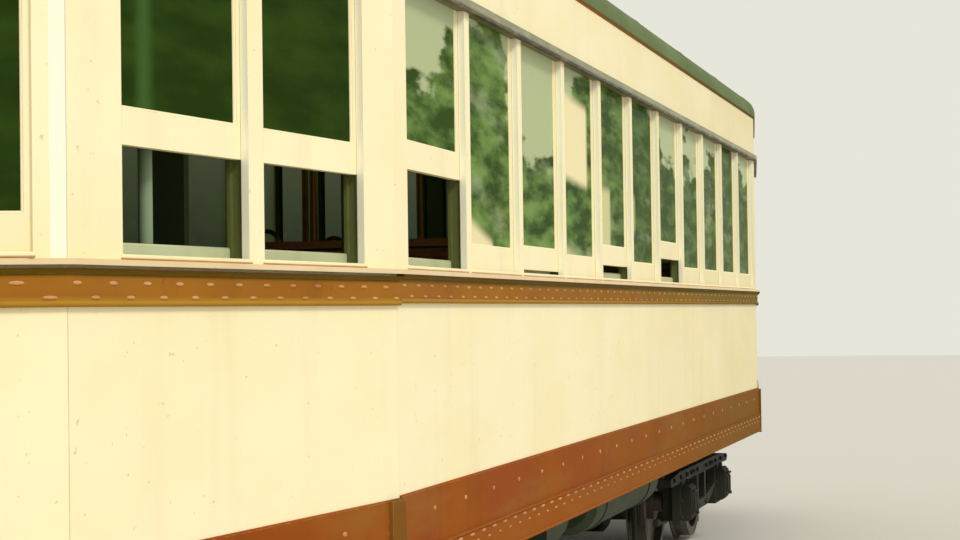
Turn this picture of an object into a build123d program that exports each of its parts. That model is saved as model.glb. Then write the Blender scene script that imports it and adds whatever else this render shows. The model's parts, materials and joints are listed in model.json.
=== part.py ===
from build123d import *
from collections import namedtuple
from math import asin, atan2, cos, degrees, radians, sin, sqrt, tan
import os

# A steel-sided electric tram on two four-wheel trucks, as built in the 1920s: one saloon with
# eleven windows a side, a tapered platform with a bowed front at each end, folding doors on the
# right side only, and one trolley pole. All sizes are in millimetres. +X is forward, +Y is the
# car's left side and z = 0 is the underside of the wheel flanges, 25 below the rail head.

# Rails and wheels
GAUGE = 1435
WHEEL_D = 762
FLANGE_H = 25
FLANGE_T = 30
FLANGE_CLEAR = 7.5
FLANGE_FLAT = (0.25, 0.6)
TREAD_W = 95
TREAD_FALL = 3
RIM_T = 62
WEB_T = 26
HUB_D = 230
AXLE_D = 130
AXLE_SHOULDER = 12
JOURNAL_D = 100
JOURNAL_L = 150
JOURNAL_NECK = 10
BEARING_CLEAR = 0.09

# Trucks
TRUCK_CENTRES = 6800
TRUCK_WHEELBASE = 1473
TRUCK_L = 2400
SIDE_FRAME_T = 56
SIDE_FRAME_TOP = 610
SIDE_FRAME_BAR = 74
BOX_W = 190
BOX_H = 230
BOX_D = 190
BOX_WALL = 22
BOX_LID = (152, 161)
BOX_ROOM = 65
PEDESTAL_W = 46
TIE_BAR_H = 24
BOLSTER_W = 250
BOLSTER_TOP = 720
BOLSTER_H = 150
TRANSOM_T = 25
TRANSOM_CLEAR = 1
SPRING_D = 150
SPRING_TURNS = 6
PLANK_T = 30
PLANK_TOP = 330
CENTRE_PLATE_D = 300
KING_PIN_D = 50
KING_PIN_L = 70
MOTOR_D = 480
MOTOR_L = 820
MOTOR_REACH = 345
NOSE_BEARING_D = 230
BRAKE_SHOE_T = 45
BRAKE_SHOE_H = 220
BRAKE_GAP = 8
SWIVEL_CLEAR = 0.3

# Body outline in plan
BODY_W = 2540
BODY_L = 8611
TAPER_L = 1800
TAPER_DEG = 7.6
BOW_R = 1700
WALL_T = 70

# Heights
WALL_Z = 845
FLOOR_Z = 1025
FLOOR_T = 40
SILL_Z = (768, 1078)
SILL_EDGE_Z = 892
BELT_Z = (1688, 1780)
LEDGE_T = 15
WINDOW_STOOL = 13
WINDOW_TOP_Z = 2730
DRIP_H = 40
EAVE_Z = 3052
CROWN_Z = 3485
PLATFORM_SAG = 7

# Trim that stands out from the wall
SILL_PLATE_T = 8
SILL_EDGE_T = 16
BELT_T = 10
LEDGE_OUT = 28
DRIP_OUT = 22
STRAP_W = 100
STRAP_T = 8

# Roof
EAVE_OUT = 12
ROOF_T = 45
SHOULDER_R = 125
EAVE_LIP = 20
HOOD_DROP = 80
HOOD_END_R = 330

# Windows
END_PILLAR = 125
WINDOW_POST = 65
LEFT_RAISED = (319, 0, 17, 0, 66, 0, 132, 0, 0, 0, 0)
PLATFORM_WINDOW_W = 626
PLATFORM_WINDOW_AT = (541, 1252)
PLATFORM_RAISED = 274
SMALL_WINDOW_W = 440
SMALL_WINDOW_AT = 400
END_WINDOW_W = 600
END_WINDOW_PITCH = 727
END_SASH_IN = 36
SASH_IN = 24
SASH_T = 32
SASH_LAP = 8
SASH_STILE = 28
SASH_BOTTOM = 92
SASH_TOP = 30
SASH_OVER = 65
SASH_CLEAR = 0.3
SASH_REBATE = 14
GLASS_T = 6
GLASS_SET = 8
POCKET_H = 330

# Folding doors on the right side
DOOR_AT = 1195
DOOR_W = 830
DOOR_T = 36
DOOR_IN = 17
DOOR_RUN_GAP = 6
DOOR_SHAFT_D = 18
DOOR_FAR_GAP = 11
DOOR_STILE = 58
DOOR_PANEL_H = 620
DOOR_RAIL = 80
DOOR_GLASS_T = 6
HINGE_OUT = 7
HINGE_BARREL_D = 12
HINGE_BARREL_H = 40
HINGE_PLATE_W = 30
HINGE_PLATE_T = 4
HINGE_COUNT = 4
END_PLAY = 0.3

# Steps
WELL_Z = 722
WELL_PLATE = 8
WELL_ROOM = 40
STEP_Z = 415
STEP_PLATE = 25
STEP_OUT = 90
STEP_DEPTH = 290
STEP_HANGER_W = 60
STEP_HANGER_T = 14

# Underframe
SIDE_SILL_W = 90
CENTRE_SILL_W = 60
CENTRE_SILL_GAP = 240
BEARER_W = 60
BEARER_H = 100
BOLSTER_BODY_W = 320
JACK_PAD = (200, 80, 16)

# Ends
BUMPER_Z = 830
BUMPER_RIB_H = 16
BUMPER_RIB_GAP = 14
BUMPER_RIBS = 4
BUMPER_OUT = 78
BUMPER_RIB_OUT = 112
BUMPER_HALF_DEG = 27
COUPLER_PIN_D = 32
COUPLER_HEAD_D = 120
COUPLER_HEAD_H = 100
COUPLER_DROP = 53
COUPLER_BAR = (90, 50)
COUPLER_ROOM = 75
COUPLER_POCKET_L = 260
COUPLER_BAR_L = 820
LAMP_Z = 1450
LAMP_D = 270
LAMP_OUT = 150
LENS_D = 226
TAIL_LAMP_D = 110
TAIL_LAMP_OUT = 60
TAIL_LAMP_DEG = 28
SIGN_W = 760
SIGN_H = 180
SIGN_OUT = 66
SIGN_LIFT = 14

# Inside
BULKHEAD_T = 40
BULKHEAD_IN = 110
BULKHEAD_DOOR = (760, 2020)
LINING_GAP = 0.5
BENCH_W = 860
BENCH_GAP = 12
BENCH_T = 24
BENCH_SEAT_Z = 440
BENCH_SEAT_D = 430
BENCH_BACK_H = 470
BENCH_BACK_LEAN = 75
LEG_T = 26
LEG_W = 90
LEG_INSET = 130
POLE_D = 34
POLE_Y = 300
CONTROLLER_D = 300
CONTROLLER_H = 980
CONTROLLER_AT = (430, 330)
CRANK_T = 24
BRAKE_COLUMN_D = 70
BRAKE_FOOT_D = 168
BRAKE_WHEEL_D = 420
BRAKE_COLUMN_H = 900
BRAKE_COLUMN_AT = (460, -230)

# Under the floor
TANK_D = 340
TANK_L = 1860
TANK_AT = (-880, 820)
TANK_STRAP_W = 60
GRID_BOX = (1450, 420, 300)
GRID_AT = (500, -820)
GRID_FINS = 9
GRID_FIN_T = 12
COMPRESSOR_BOX = (620, 380, 330)
COMPRESSOR_AT = (850, 800)
SWITCH_BOX = (620, 380, 300)
SWITCH_AT = (-1050, -820)
HANGER_T = 30
GUARD_W = 1900
GUARD_D = 620
GUARD_Z = 150
GUARD_BAR = 28
GUARD_SLATS = 9
GUARD_AT = 520

# On the roof
BOARD_L = 3600
BOARD_W = 110
BOARD_COUNT = 6
BOARD_GAP = 30
BOARD_T = 28
BOARD_LIFT = 42
BOARD_X = -300
BEARER_COUNT = 5
ROOF_BEARER_W = 70
VENT_COUNT = 5
VENT_D = 240
VENT_H = 105
VENT_Y = 660
TROLLEY_X = -300
TURNTABLE_D = 420
TURNTABLE_H = 55
TROLLEY_POST_W = 150
TROLLEY_HINGE_H = 170
TROLLEY_EAR_T = 24
TROLLEY_SIDE_CLEAR = 1
TROLLEY_PIN_D = 30
POLE_OVERHANG = 650
POLE_BUTT_D = 62
POLE_BOSS_D = 93
POLE_TIP_D = 34
SPRING_BARREL_D = 90
SPRING_BARREL_L = 620
HARP_L = 190
HARP_T = 9
HARP_CLEAR = 5
SPINDLE_D = 12
TROLLEY_WHEEL_D = 150
TROLLEY_WHEEL_T = 34
TROLLEY_GROOVE = (24, 10)
REST_FROM_BEND = 220
REST_W = 170
REST_GAP = 6

# Places worked out from the sizes above
AXLE_Z = FLANGE_H + WHEEL_D / 2
WHEEL_BACK_Y = GAUGE / 2 - FLANGE_CLEAR - FLANGE_T
WHEEL_FACE_Y = WHEEL_BACK_Y + FLANGE_T + TREAD_W
JOURNAL_Y = WHEEL_FACE_Y + BOX_ROOM + BOX_D / 2
SLOPE = radians(TAPER_DEG)
HALF_W = BODY_W / 2
BEND_X = BODY_L / 2
CORNER_X = BEND_X + TAPER_L * cos(SLOPE)
CORNER_Y = HALF_W - TAPER_L * sin(SLOPE)
BOW_X = CORNER_X - sqrt(BOW_R ** 2 - CORNER_Y ** 2)
NOSE_X = BOW_X + BOW_R
TRUCK_X = TRUCK_CENTRES / 2
LEDGE_Z = BELT_Z[1] + LEDGE_T
STOOL_Z = LEDGE_Z + WINDOW_STOOL
WINDOW_COUNT = len(LEFT_RAISED)
WINDOW_PITCH = (BODY_L - 2 * END_PILLAR + WINDOW_POST) / WINDOW_COUNT
WINDOW_W = WINDOW_PITCH - WINDOW_POST
FIRST_WINDOW_X = BEND_X - END_PILLAR - WINDOW_W / 2
SASH_H = WINDOW_TOP_Z + SASH_OVER - STOOL_Z
DECK_Z = CROWN_Z + BOARD_LIFT + BOARD_T
ROOF_SEAT_Z = EAVE_Z + EAVE_LIP + SHOULDER_R
LEAF_W = (DOOR_W - DOOR_SHAFT_D / 2 - 2 * DOOR_RUN_GAP - DOOR_FAR_GAP) / 2
WELL_DEPTH = DOOR_IN + DOOR_T + LEAF_W + WELL_ROOM
COUPLER_X = NOSE_X + BUMPER_RIB_OUT + COUPLER_ROOM
COUPLER_Z = SILL_Z[0] - COUPLER_DROP
HINGE_Z = DECK_Z + TURNTABLE_H + TROLLEY_HINGE_H
REST_X = REST_FROM_BEND - BEND_X
POLE_L = TROLLEY_X - REST_X + POLE_OVERHANG
FAR = 9000
CUT = 60


def block(x, y, z):
    """A box between three (low, high) pairs."""
    size = Box(x[1] - x[0], y[1] - y[0], z[1] - z[0], align=(Align.MIN, Align.MIN, Align.MIN))
    return Pos(x[0], y[0], z[0]) * size


def drum(diameter, length, axis="Z", bevel=0):
    """A cylinder about the origin along the named axis, its rims cut back by the bevel."""
    profile = Polyline(
        (0, -length / 2),
        (diameter / 2 - bevel, -length / 2),
        (diameter / 2, -length / 2 + bevel),
        (diameter / 2, length / 2 - bevel),
        (diameter / 2 - bevel, length / 2),
        (0, length / 2),
        close=True,
    ) if bevel else None
    turned = revolve(Plane.XZ * make_face(profile), Axis.Z) if bevel else Cylinder(diameter / 2, length)
    turn = {"X": Rot(0, 90, 0), "Y": Rot(90, 0, 0), "Z": Rot(0, 0, 0)}[axis]
    return turn * turned


def save(name, *parts):
    """Write the solids of one sub-part to its own file."""
    solids = [solid for part in parts for solid in part.solids()]
    export_step(Compound(solids), f"parts/{name}.step")


def plan_points(inset):
    """The bend and the corner of the front left quarter of the outline, moved inwards."""
    side = HALF_W - inset
    bend = BEND_X - inset * tan(SLOPE / 2)
    run = bend - BOW_X
    along = run * cos(SLOPE) - side * sin(SLOPE)
    reach = sqrt(along ** 2 - run ** 2 - side ** 2 + (BOW_R - inset) ** 2) - along
    return (bend, side), (bend + reach * cos(SLOPE), side - reach * sin(SLOPE))


def plan_prism(inset, low, high):
    """The body's outline, moved inwards by the inset, between two heights."""
    (bend, side), (corner, edge) = plan_points(inset)
    nose = NOSE_X - inset
    outline = [
        Line((-bend, side), (bend, side)),
        Line((bend, side), (corner, edge)),
        ThreePointArc((corner, edge), (nose, 0), (corner, -edge)),
        Line((corner, -edge), (bend, -side)),
        Line((bend, -side), (-bend, -side)),
        Line((-bend, -side), (-corner, -edge)),
        ThreePointArc((-corner, -edge), (-nose, 0), (-corner, edge)),
        Line((-corner, edge), (-bend, side)),
    ]
    return extrude(Pos(0, 0, low) * make_face(outline), high - low)


def plan_band(outer, inner, low, high):
    """A band that follows the outline between two insets and two heights."""
    return plan_prism(outer, low, high) - plan_prism(inner, low, high)


def wall_frame(x, y, facing):
    """A plane on the wall's face: x to the right as seen from outside, y inwards and z up."""
    turn = radians(facing)
    return Plane(origin=(x, y, 0), x_dir=(-sin(turn), cos(turn), 0), z_dir=(0, 0, 1))


def on_taper(distance, end, side):
    """A wall frame on a platform's side, at a distance from the bend."""
    x = end * (BEND_X + distance * cos(SLOPE))
    y = side * (HALF_W - distance * sin(SLOPE))
    return wall_frame(x, y, degrees(atan2(side * cos(SLOPE), end * sin(SLOPE))))


def on_bow(angle, end):
    """A wall frame on an end's bow, at an angle from its middle."""
    facing = angle if end > 0 else 180 + angle
    turn = radians(angle)
    return wall_frame(end * (BOW_X + BOW_R * cos(turn)), end * BOW_R * sin(turn), facing)


# Each window: the wall that it is in, its frame, its width, how far its sash is raised and
# how far in from the wall's face the sash stands.
Window = namedtuple("Window", "wall frame width raised depth")


def list_windows():
    windows = []
    for number, raised in enumerate(LEFT_RAISED):
        x = FIRST_WINDOW_X - number * WINDOW_PITCH
        windows.append(Window("left", wall_frame(x, HALF_W, 90), WINDOW_W, raised, SASH_IN))
        windows.append(Window("right", wall_frame(x, -HALF_W, -90), WINDOW_W, 0, SASH_IN))
    for end in (1, -1):
        for distance in PLATFORM_WINDOW_AT:
            raised = PLATFORM_RAISED if end > 0 else 0
            frame = on_taper(distance, end, 1)
            windows.append(Window("platform left", frame, PLATFORM_WINDOW_W, raised, SASH_IN))
        frame = on_taper(SMALL_WINDOW_AT, end, -1)
        windows.append(Window("platform right", frame, SMALL_WINDOW_W, 0, SASH_IN))
        for place in (-1, 0, 1):
            frame = on_bow(place * degrees(END_WINDOW_PITCH / BOW_R), end)
            windows.append(Window("end", frame, END_WINDOW_W, 0, END_SASH_IN))
    return windows


WINDOWS = list_windows()
DOORS = {"front": on_taper(DOOR_AT, 1, -1), "rear": on_taper(DOOR_AT, -1, -1)}


def sash_channel(window):
    """The channel and pocket that a window's sash slides in."""
    half = window.width / 2 + SASH_LAP
    depth = (window.depth, window.depth + SASH_T + 2 * SASH_CLEAR)
    return window.frame * block((-half, half), depth, (STOOL_Z, STOOL_Z + SASH_H + POCKET_H))


def window_cut(window):
    """The window's opening over its stool, with its sash's channel."""
    half = window.width / 2
    inside = WALL_T + CUT
    outer = block((-half, half), (-CUT, window.depth), (LEDGE_Z, WINDOW_TOP_Z))
    inner = block((-half, half), (window.depth, inside), (STOOL_Z, WINDOW_TOP_Z))
    return window.frame * (outer + inner) + sash_channel(window)


def door_cut(frame, low=SILL_Z[0] - 1):
    """The doorway through the wall and its trim, from the sill to the windows' top line."""
    opening = block((-DOOR_W / 2, DOOR_W / 2), (-CUT, WALL_T + CUT), (low, WINDOW_TOP_Z))
    return frame * opening


def well_cut(frame):
    """The room that the step well takes out of the floor and the underframe."""
    half = DOOR_W / 2 + WELL_PLATE
    room = block((-half, half), (-CUT, WELL_DEPTH + WELL_PLATE), (WELL_Z - WELL_PLATE, FLOOR_Z + 1))
    return frame * room


def cut_doors(solid, cutter=door_cut):
    for frame in DOORS.values():
        solid = solid - cutter(frame)
    return solid


def body_walls():
    """The walls, split at the bends and at the corner posts, with windows and doorways cut."""
    shell = plan_band(0, WALL_T, WALL_Z, EAVE_Z)
    main = (-BEND_X, BEND_X)
    height = (WALL_Z, EAVE_Z)
    walls = {
        "left": shell & block(main, (0, FAR), height),
        "right": shell & block(main, (-FAR, 0), height),
    }
    for name, side in (("platform left", (0, FAR)), ("platform right", (-FAR, 0))):
        front = shell & block((BEND_X, CORNER_X), side, height)
        rear = shell & block((-CORNER_X, -BEND_X), side, height)
        walls[name] = front + rear
    nose = shell & block((CORNER_X, FAR), (-FAR, FAR), height)
    tail = shell & block((-FAR, -CORNER_X), (-FAR, FAR), height)
    walls["end"] = nose + tail
    for window in WINDOWS:
        walls[window.wall] = walls[window.wall] - window_cut(window)
    walls["platform right"] = cut_doors(walls["platform right"])
    save("side_wall_left", walls["left"])
    save("side_wall_right", walls["right"])
    save("platform_walls", walls["platform left"], walls["platform right"])
    save("end_walls", walls["end"])


def trim():
    """The riveted sill plates and belt rail, and the ledge and drip rail round the windows."""
    main = block((-BEND_X, BEND_X), (-FAR, FAR), (0, FAR))
    low, high = SILL_Z
    plate = plan_band(-SILL_PLATE_T, 0, low, high)
    edge = plan_band(-SILL_EDGE_T, 0, low, SILL_EDGE_Z)
    sill = cut_doors(plate + edge)
    belt = cut_doors(plan_band(-BELT_T, 0, *BELT_Z))
    sag = Pos(0, 0, -PLATFORM_SAG)
    strap_room = block((BEND_X, BEND_X + STRAP_W), (-FAR, FAR), SILL_Z)
    straps = plan_band(-SILL_EDGE_T - STRAP_T, -SILL_EDGE_T, low, high)
    straps = straps + plan_band(-SILL_EDGE_T, -SILL_PLATE_T, SILL_EDGE_Z, high)
    strap_front = straps & strap_room
    strap_rear = straps & mirror(strap_room, Plane.YZ)
    save("sill_plates", sag * ((sill - main) + strap_front + strap_rear), sill & main)
    save("belt_rails", sag * (belt - main), belt & main)
    ledge = cut_doors(plan_band(-LEDGE_OUT, 0, BELT_Z[1], LEDGE_Z))
    drip = plan_band(-DRIP_OUT, 0, WINDOW_TOP_Z, WINDOW_TOP_Z + DRIP_H)
    save("window_mouldings", ledge, drip)


def crown_radius(half, crown, shoulder, eave=EAVE_Z):
    """The radius of the roof's crown that meets both round shoulders smoothly."""
    across = half - shoulder
    rise = crown - eave - EAVE_LIP
    return (across ** 2 + rise ** 2 - shoulder ** 2) / (2 * (rise - shoulder))


def roof_section(half, crown, shoulder, eave=EAVE_Z):
    """The roof's cross-section: round shoulders run smoothly into a flat crown."""
    centre = (half - shoulder, eave + EAVE_LIP)
    crown_r = crown_radius(half, crown, shoulder, eave)
    lean = asin(centre[0] / (crown_r - shoulder))
    join = (crown_r * sin(lean), crown - crown_r + crown_r * cos(lean))
    middle = (lean + radians(90)) / 2
    bulge = (centre[0] + shoulder * sin(middle), centre[1] + shoulder * cos(middle))
    lip = (half, centre[1])
    outline = [
        Line((-half, eave), (half, eave)),
        Line((half, eave), lip),
        ThreePointArc(lip, bulge, join),
        ThreePointArc(join, (0, crown), (-join[0], join[1])),
        ThreePointArc((-join[0], join[1]), (-bulge[0], bulge[1]), (-lip[0], lip[1])),
        Line((-lip[0], lip[1]), (-half, eave)),
    ]
    return make_face(outline)


def roof_vault(inset):
    """The solid under the saloon's roof, moved inwards by the inset."""
    half = HALF_W + EAVE_OUT - inset
    section = roof_section(half, CROWN_Z - inset, SHOULDER_R - inset)
    return extrude(Plane.YZ.offset(-BEND_X) * section, BODY_L)


def hood_solid(inset):
    """The solid under a platform's roof: a tapered vault, rounded down over the bowed end."""
    length = NOSE_X + EAVE_OUT - BEND_X
    half = HALF_W + EAVE_OUT - inset
    start = roof_section(half, CROWN_Z - inset, SHOULDER_R - inset)
    end_half = half - length * tan(SLOPE)
    finish = roof_section(end_half, CROWN_Z - inset - HOOD_DROP, SHOULDER_R - inset)
    vault = loft([Plane.YZ.offset(BEND_X) * start, Plane.YZ.offset(BEND_X + length) * finish], ruled=True)
    reach = BOW_R + EAVE_OUT - inset
    corner = HOOD_END_R - inset
    lip = EAVE_Z + EAVE_LIP
    bulge = (reach - corner + corner * cos(radians(45)), lip + corner * sin(radians(45)))
    outline = [
        Line((0, EAVE_Z), (reach, EAVE_Z)),
        Line((reach, EAVE_Z), (reach, lip)),
        ThreePointArc((reach, lip), bulge, (reach - corner, lip + corner)),
        Line((reach - corner, lip + corner), (0, CROWN_Z + corner)),
        Line((0, CROWN_Z + corner), (0, EAVE_Z)),
    ]
    dome = Pos(BOW_X, 0, 0) * revolve(Plane.XZ * make_face(outline), Axis.Z)
    return vault & dome


def roof():
    """The roof shells, with the tops of the pockets that the raised sashes slide into."""
    shells = {"main": roof_vault(0) - roof_vault(ROOF_T)}
    shells["front"] = hood_solid(0) - hood_solid(ROOF_T)
    shells["rear"] = mirror(shells["front"], Plane.YZ)
    for window in WINDOWS:
        if window.wall == "end":
            continue
        name = "main" if window.wall in ("left", "right") else "front"
        if name == "front" and window.frame.origin.X < 0:
            name = "rear"
        shells[name] = shells[name] - sash_channel(window)
    save("roof", shells["main"])
    save("roof_hoods", shells["front"], shells["rear"])


def place_sash(window):
    return window.frame * Pos(0, window.depth + SASH_CLEAR, STOOL_Z + window.raised)


def sashes():
    """One sash a window, rebated inside for its pane, and each pane in its rebate."""
    frames = []
    panes = []
    for window in WINDOWS:
        half = window.width / 2 + SASH_LAP - SASH_CLEAR
        light = half - SASH_STILE
        span = (SASH_BOTTOM, SASH_H - SASH_TOP)
        blank = block((-half, half), (0, SASH_T), (0, SASH_H))
        blank = blank - block((-light, light), (-CUT, CUT), span)
        seat = light + SASH_REBATE
        seat_z = (span[0] - SASH_REBATE, span[1] + SASH_REBATE)
        blank = blank - block((-seat, seat), (GLASS_SET, CUT), seat_z)
        pane = block((-seat, seat), (GLASS_SET, GLASS_SET + GLASS_T), seat_z)
        frames.append(place_sash(window) * blank)
        panes.append(place_sash(window) * pane)
    save("sashes", *frames)
    save("window_glass", *panes)


def door_leaf(start, knuckle_at, knuckle_turn):
    """A door leaf in the door's frame, with its glazed light, lower panel and hinge barrels."""
    low, high = WELL_Z + DOOR_RUN_GAP, WINDOW_TOP_Z - DOOR_RUN_GAP
    face = (DOOR_IN, DOOR_IN + DOOR_T)
    leaf = block((start, start + LEAF_W), face, (low, high))
    side = (start + DOOR_STILE, start + LEAF_W - DOOR_STILE)
    light_z = (low + DOOR_PANEL_H, high - DOOR_RAIL)
    pane = block(side, (DOOR_IN + DOOR_T / 2, DOOR_IN + DOOR_T / 2 + DOOR_GLASS_T), light_z)
    leaf = leaf - block(side, (-CUT, CUT * 2), light_z)
    panel_z = (low + DOOR_RAIL, low + DOOR_PANEL_H - DOOR_RAIL)
    leaf = leaf - block(side, (DOOR_IN - 1, DOOR_IN + DOOR_T / 4), panel_z)
    axis = DOOR_IN - HINGE_OUT
    pitch = (high - low) / HINGE_COUNT
    for number in range(HINGE_COUNT):
        z = low + pitch * (number + 0.5) + knuckle_turn * (HINGE_BARREL_H + END_PLAY) / 2
        barrel = Pos(knuckle_at, axis, z) * Cylinder(HINGE_BARREL_D / 2, HINGE_BARREL_H)
        ends = sorted((knuckle_at, knuckle_at - knuckle_turn * HINGE_PLATE_W))
        height = (z - HINGE_BARREL_H / 2, z + HINGE_BARREL_H / 2)
        plate = block(ends, (DOOR_IN - HINGE_PLATE_T, DOOR_IN), height)
        leaf = leaf + barrel + plate
    return leaf, pane


def doors():
    """Two leaves a doorway: the first turns on a shaft at the jamb, the second is hinged to it."""
    shaft_x = -DOOR_W / 2 + DOOR_SHAFT_D / 2 + DOOR_RUN_GAP
    knuckle_x = shaft_x + LEAF_W + DOOR_RUN_GAP / 2
    shaft = Pos(shaft_x, DOOR_IN + DOOR_T, (WELL_Z + WINDOW_TOP_Z) / 2) * Cylinder(
        DOOR_SHAFT_D / 2, WINDOW_TOP_Z - WELL_Z - 2 * END_PLAY
    )
    for name, frame in DOORS.items():
        leaf, pane = door_leaf(shaft_x, knuckle_x, 1)
        save(f"door_{name}_a", frame * (leaf + shaft))
        save(f"door_{name}_a_glass", frame * pane)
        leaf, pane = door_leaf(knuckle_x + DOOR_RUN_GAP / 2, knuckle_x, -1)
        save(f"door_{name}_b", frame * leaf)
        save(f"door_{name}_b_glass", frame * pane)


def steps():
    """A step well inside each doorway, with an open step hung below it."""
    parts = []
    half = DOOR_W / 2
    for frame in DOORS.values():
        outer = half + WELL_PLATE
        back = WELL_DEPTH + WELL_PLATE
        low = WELL_Z - WELL_PLATE
        step = block((-outer, outer), (0, back), (low, WELL_Z))
        step = step + block((-outer, outer), (WELL_DEPTH, back), (low, FLOOR_Z))
        for side in ((-outer, -half), (half, outer)):
            step = step + block(side, (WALL_T, back), (low, FLOOR_Z))
        step = step + block((-half, half), (-STEP_OUT, STEP_DEPTH - STEP_OUT), (STEP_Z - STEP_PLATE, STEP_Z))
        for x in (-half + STEP_HANGER_W, half - 2 * STEP_HANGER_W):
            for y in (STEP_DEPTH / 4, STEP_DEPTH / 2):
                hanger = block((x, x + STEP_HANGER_W), (y, y + STEP_HANGER_T), (STEP_Z, low))
                step = step + hanger
        parts.append(frame * step)
    save("steps", *parts)


def floor():
    slab = plan_prism(WALL_T, FLOOR_Z - FLOOR_T, FLOOR_Z)
    save("floor", cut_doors(slab, well_cut))


def bolster_room(end, low, high):
    """The room of a body bolster between the side sills, over one truck."""
    x = end * TRUCK_X
    half = HALF_W - WALL_T - SIDE_SILL_W
    return block((x - BOLSTER_BODY_W / 2, x + BOLSTER_BODY_W / 2), (-half, half), (low, high))


def underframe():
    """Side sills round the outline, centre sills, cross-bearers and pads for jacks."""
    low, high = WALL_Z, FLOOR_Z - FLOOR_T
    frame = plan_band(WALL_T, WALL_T + SIDE_SILL_W, low, high)
    inner = plan_prism(WALL_T, low, high)
    for side in (-1, 1):
        y = side * (CENTRE_SILL_GAP + CENTRE_SILL_W) / 2
        sill = block((-NOSE_X, NOSE_X), (y - CENTRE_SILL_W / 2, y + CENTRE_SILL_W / 2), (low, high))
        frame = frame + (sill & inner)
    for number in range(WINDOW_COUNT):
        x = FIRST_WINDOW_X - number * WINDOW_PITCH
        bearer = block((x - BEARER_W / 2, x + BEARER_W / 2), (-HALF_W, HALF_W), (high - BEARER_H, high))
        frame = frame + (bearer & inner)
    length, width, thick = JACK_PAD
    for end in (-1, 1):
        frame = frame - bolster_room(end, low, high)
        for side in (-1, 1):
            y = side * (HALF_W - WALL_T - SIDE_SILL_W / 2)
            x = end * TRUCK_X
            span = (y - width / 2, y + width / 2)
            frame = frame + block((x - length / 2, x + length / 2), span, (low - thick, low))
    save("underframe", cut_doors(frame, well_cut))


def body_bolsters():
    """A cross beam over each truck, with the upper half of its centre plate."""
    low, high = WALL_Z, FLOOR_Z - FLOOR_T
    plate_low = BOLSTER_TOP + (WALL_Z - BOLSTER_TOP) / 2 + SWIVEL_CLEAR
    beams = []
    for end in (-1, 1):
        x = end * TRUCK_X
        plate = Pos(x, 0, (plate_low + low) / 2) * Cylinder(CENTRE_PLATE_D / 2, low - plate_low)
        hole = Pos(x, 0, plate_low) * Cylinder(KING_PIN_D / 2 + BEARING_CLEAR, KING_PIN_D * 3)
        beams.append(bolster_room(end, low, high) + plate - hole)
    save("body_bolsters", *beams)


def bumpers():
    """A curved buffer beam with ribs at each end, made to lock against another car's."""
    parts = []
    low = BUMPER_Z
    high = low + BUMPER_RIBS * BUMPER_RIB_H + (BUMPER_RIBS - 1) * BUMPER_RIB_GAP
    wedge_y = BOW_R * sin(radians(BUMPER_HALF_DEG))
    seat = -SILL_EDGE_T
    beam = plan_band(-BUMPER_OUT, seat, low, high)
    for number in range(BUMPER_RIBS):
        z = low + number * (BUMPER_RIB_H + BUMPER_RIB_GAP)
        beam = beam + plan_band(-BUMPER_RIB_OUT, seat, z, z + BUMPER_RIB_H)
    for x in ((CORNER_X, FAR), (-FAR, -CORNER_X)):
        parts.append(beam & block(x, (-wedge_y, wedge_y), (low, high)))
    save("bumpers", *parts)


def couplers():
    """A drawbar under each end, with a round head bored for an upright pin."""
    width, height = COUPLER_BAR
    parts = []
    for end in (-1, 1):
        start = COUPLER_X - COUPLER_BAR_L
        bar_z = (COUPLER_Z - height / 2, COUPLER_Z + height / 2)
        bar = block((start, COUPLER_X), (-width / 2, width / 2), bar_z)
        pocket = block((start - COUPLER_POCKET_L, start), (-width, width), (COUPLER_Z - height, WALL_Z))
        across = CENTRE_SILL_GAP / 2 + CENTRE_SILL_W
        seat = block((start - COUPLER_POCKET_L, start), (-across, across), (WALL_Z - height / 2, WALL_Z))
        head = Pos(COUPLER_X, 0, COUPLER_Z) * drum(COUPLER_HEAD_D, COUPLER_HEAD_H, bevel=height / 6)
        hole = Pos(COUPLER_X, 0, COUPLER_Z) * Cylinder(COUPLER_PIN_D / 2, COUPLER_HEAD_H * 2)
        coupler = bar + pocket + seat + head - hole
        parts.append(coupler if end > 0 else mirror(coupler, Plane.YZ))
    save("couplers", *parts)


def lamps():
    """A round headlamp in the middle of the front dash and two tail lamps on the rear one."""
    body = plan_prism(0, 0, EAVE_Z)
    start = NOSE_X - LAMP_D / 4
    front = NOSE_X + LAMP_OUT
    shell = Pos((start + front) / 2, 0, LAMP_Z) * drum(LAMP_D, front - start, "X", LAMP_D / 16)
    lens_t = LAMP_D / 12
    lens = Pos(front - lens_t / 2, 0, LAMP_Z) * Cylinder(LENS_D / 2, lens_t, rotation=(0, 90, 0))
    housings = [shell - body - lens]
    lenses = [lens]
    for side in (-1, 1):
        frame = on_bow(side * TAIL_LAMP_DEG, -1)
        length = TAIL_LAMP_OUT + CUT
        tail = frame * Pos(0, CUT - length / 2, LAMP_Z) * drum(TAIL_LAMP_D, length, "Y")
        face = frame * Pos(0, -TAIL_LAMP_OUT + lens_t / 2, LAMP_Z) * drum(TAIL_LAMP_D * 3 / 4, lens_t, "Y")
        housings.append(tail - body - face)
        lenses.append(face)
    save("lamps", *housings)
    save("lamp_lenses", *lenses)


def sign_box():
    """A plain roller-blind box on the letterboard over the middle front window."""
    low = WINDOW_TOP_Z + DRIP_H + SIGN_LIFT
    box = block((BOW_X, NOSE_X + SIGN_OUT), (-SIGN_W / 2, SIGN_W / 2), (low, low + SIGN_H))
    save("sign_box", box - plan_prism(0, 0, EAVE_Z))


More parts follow.
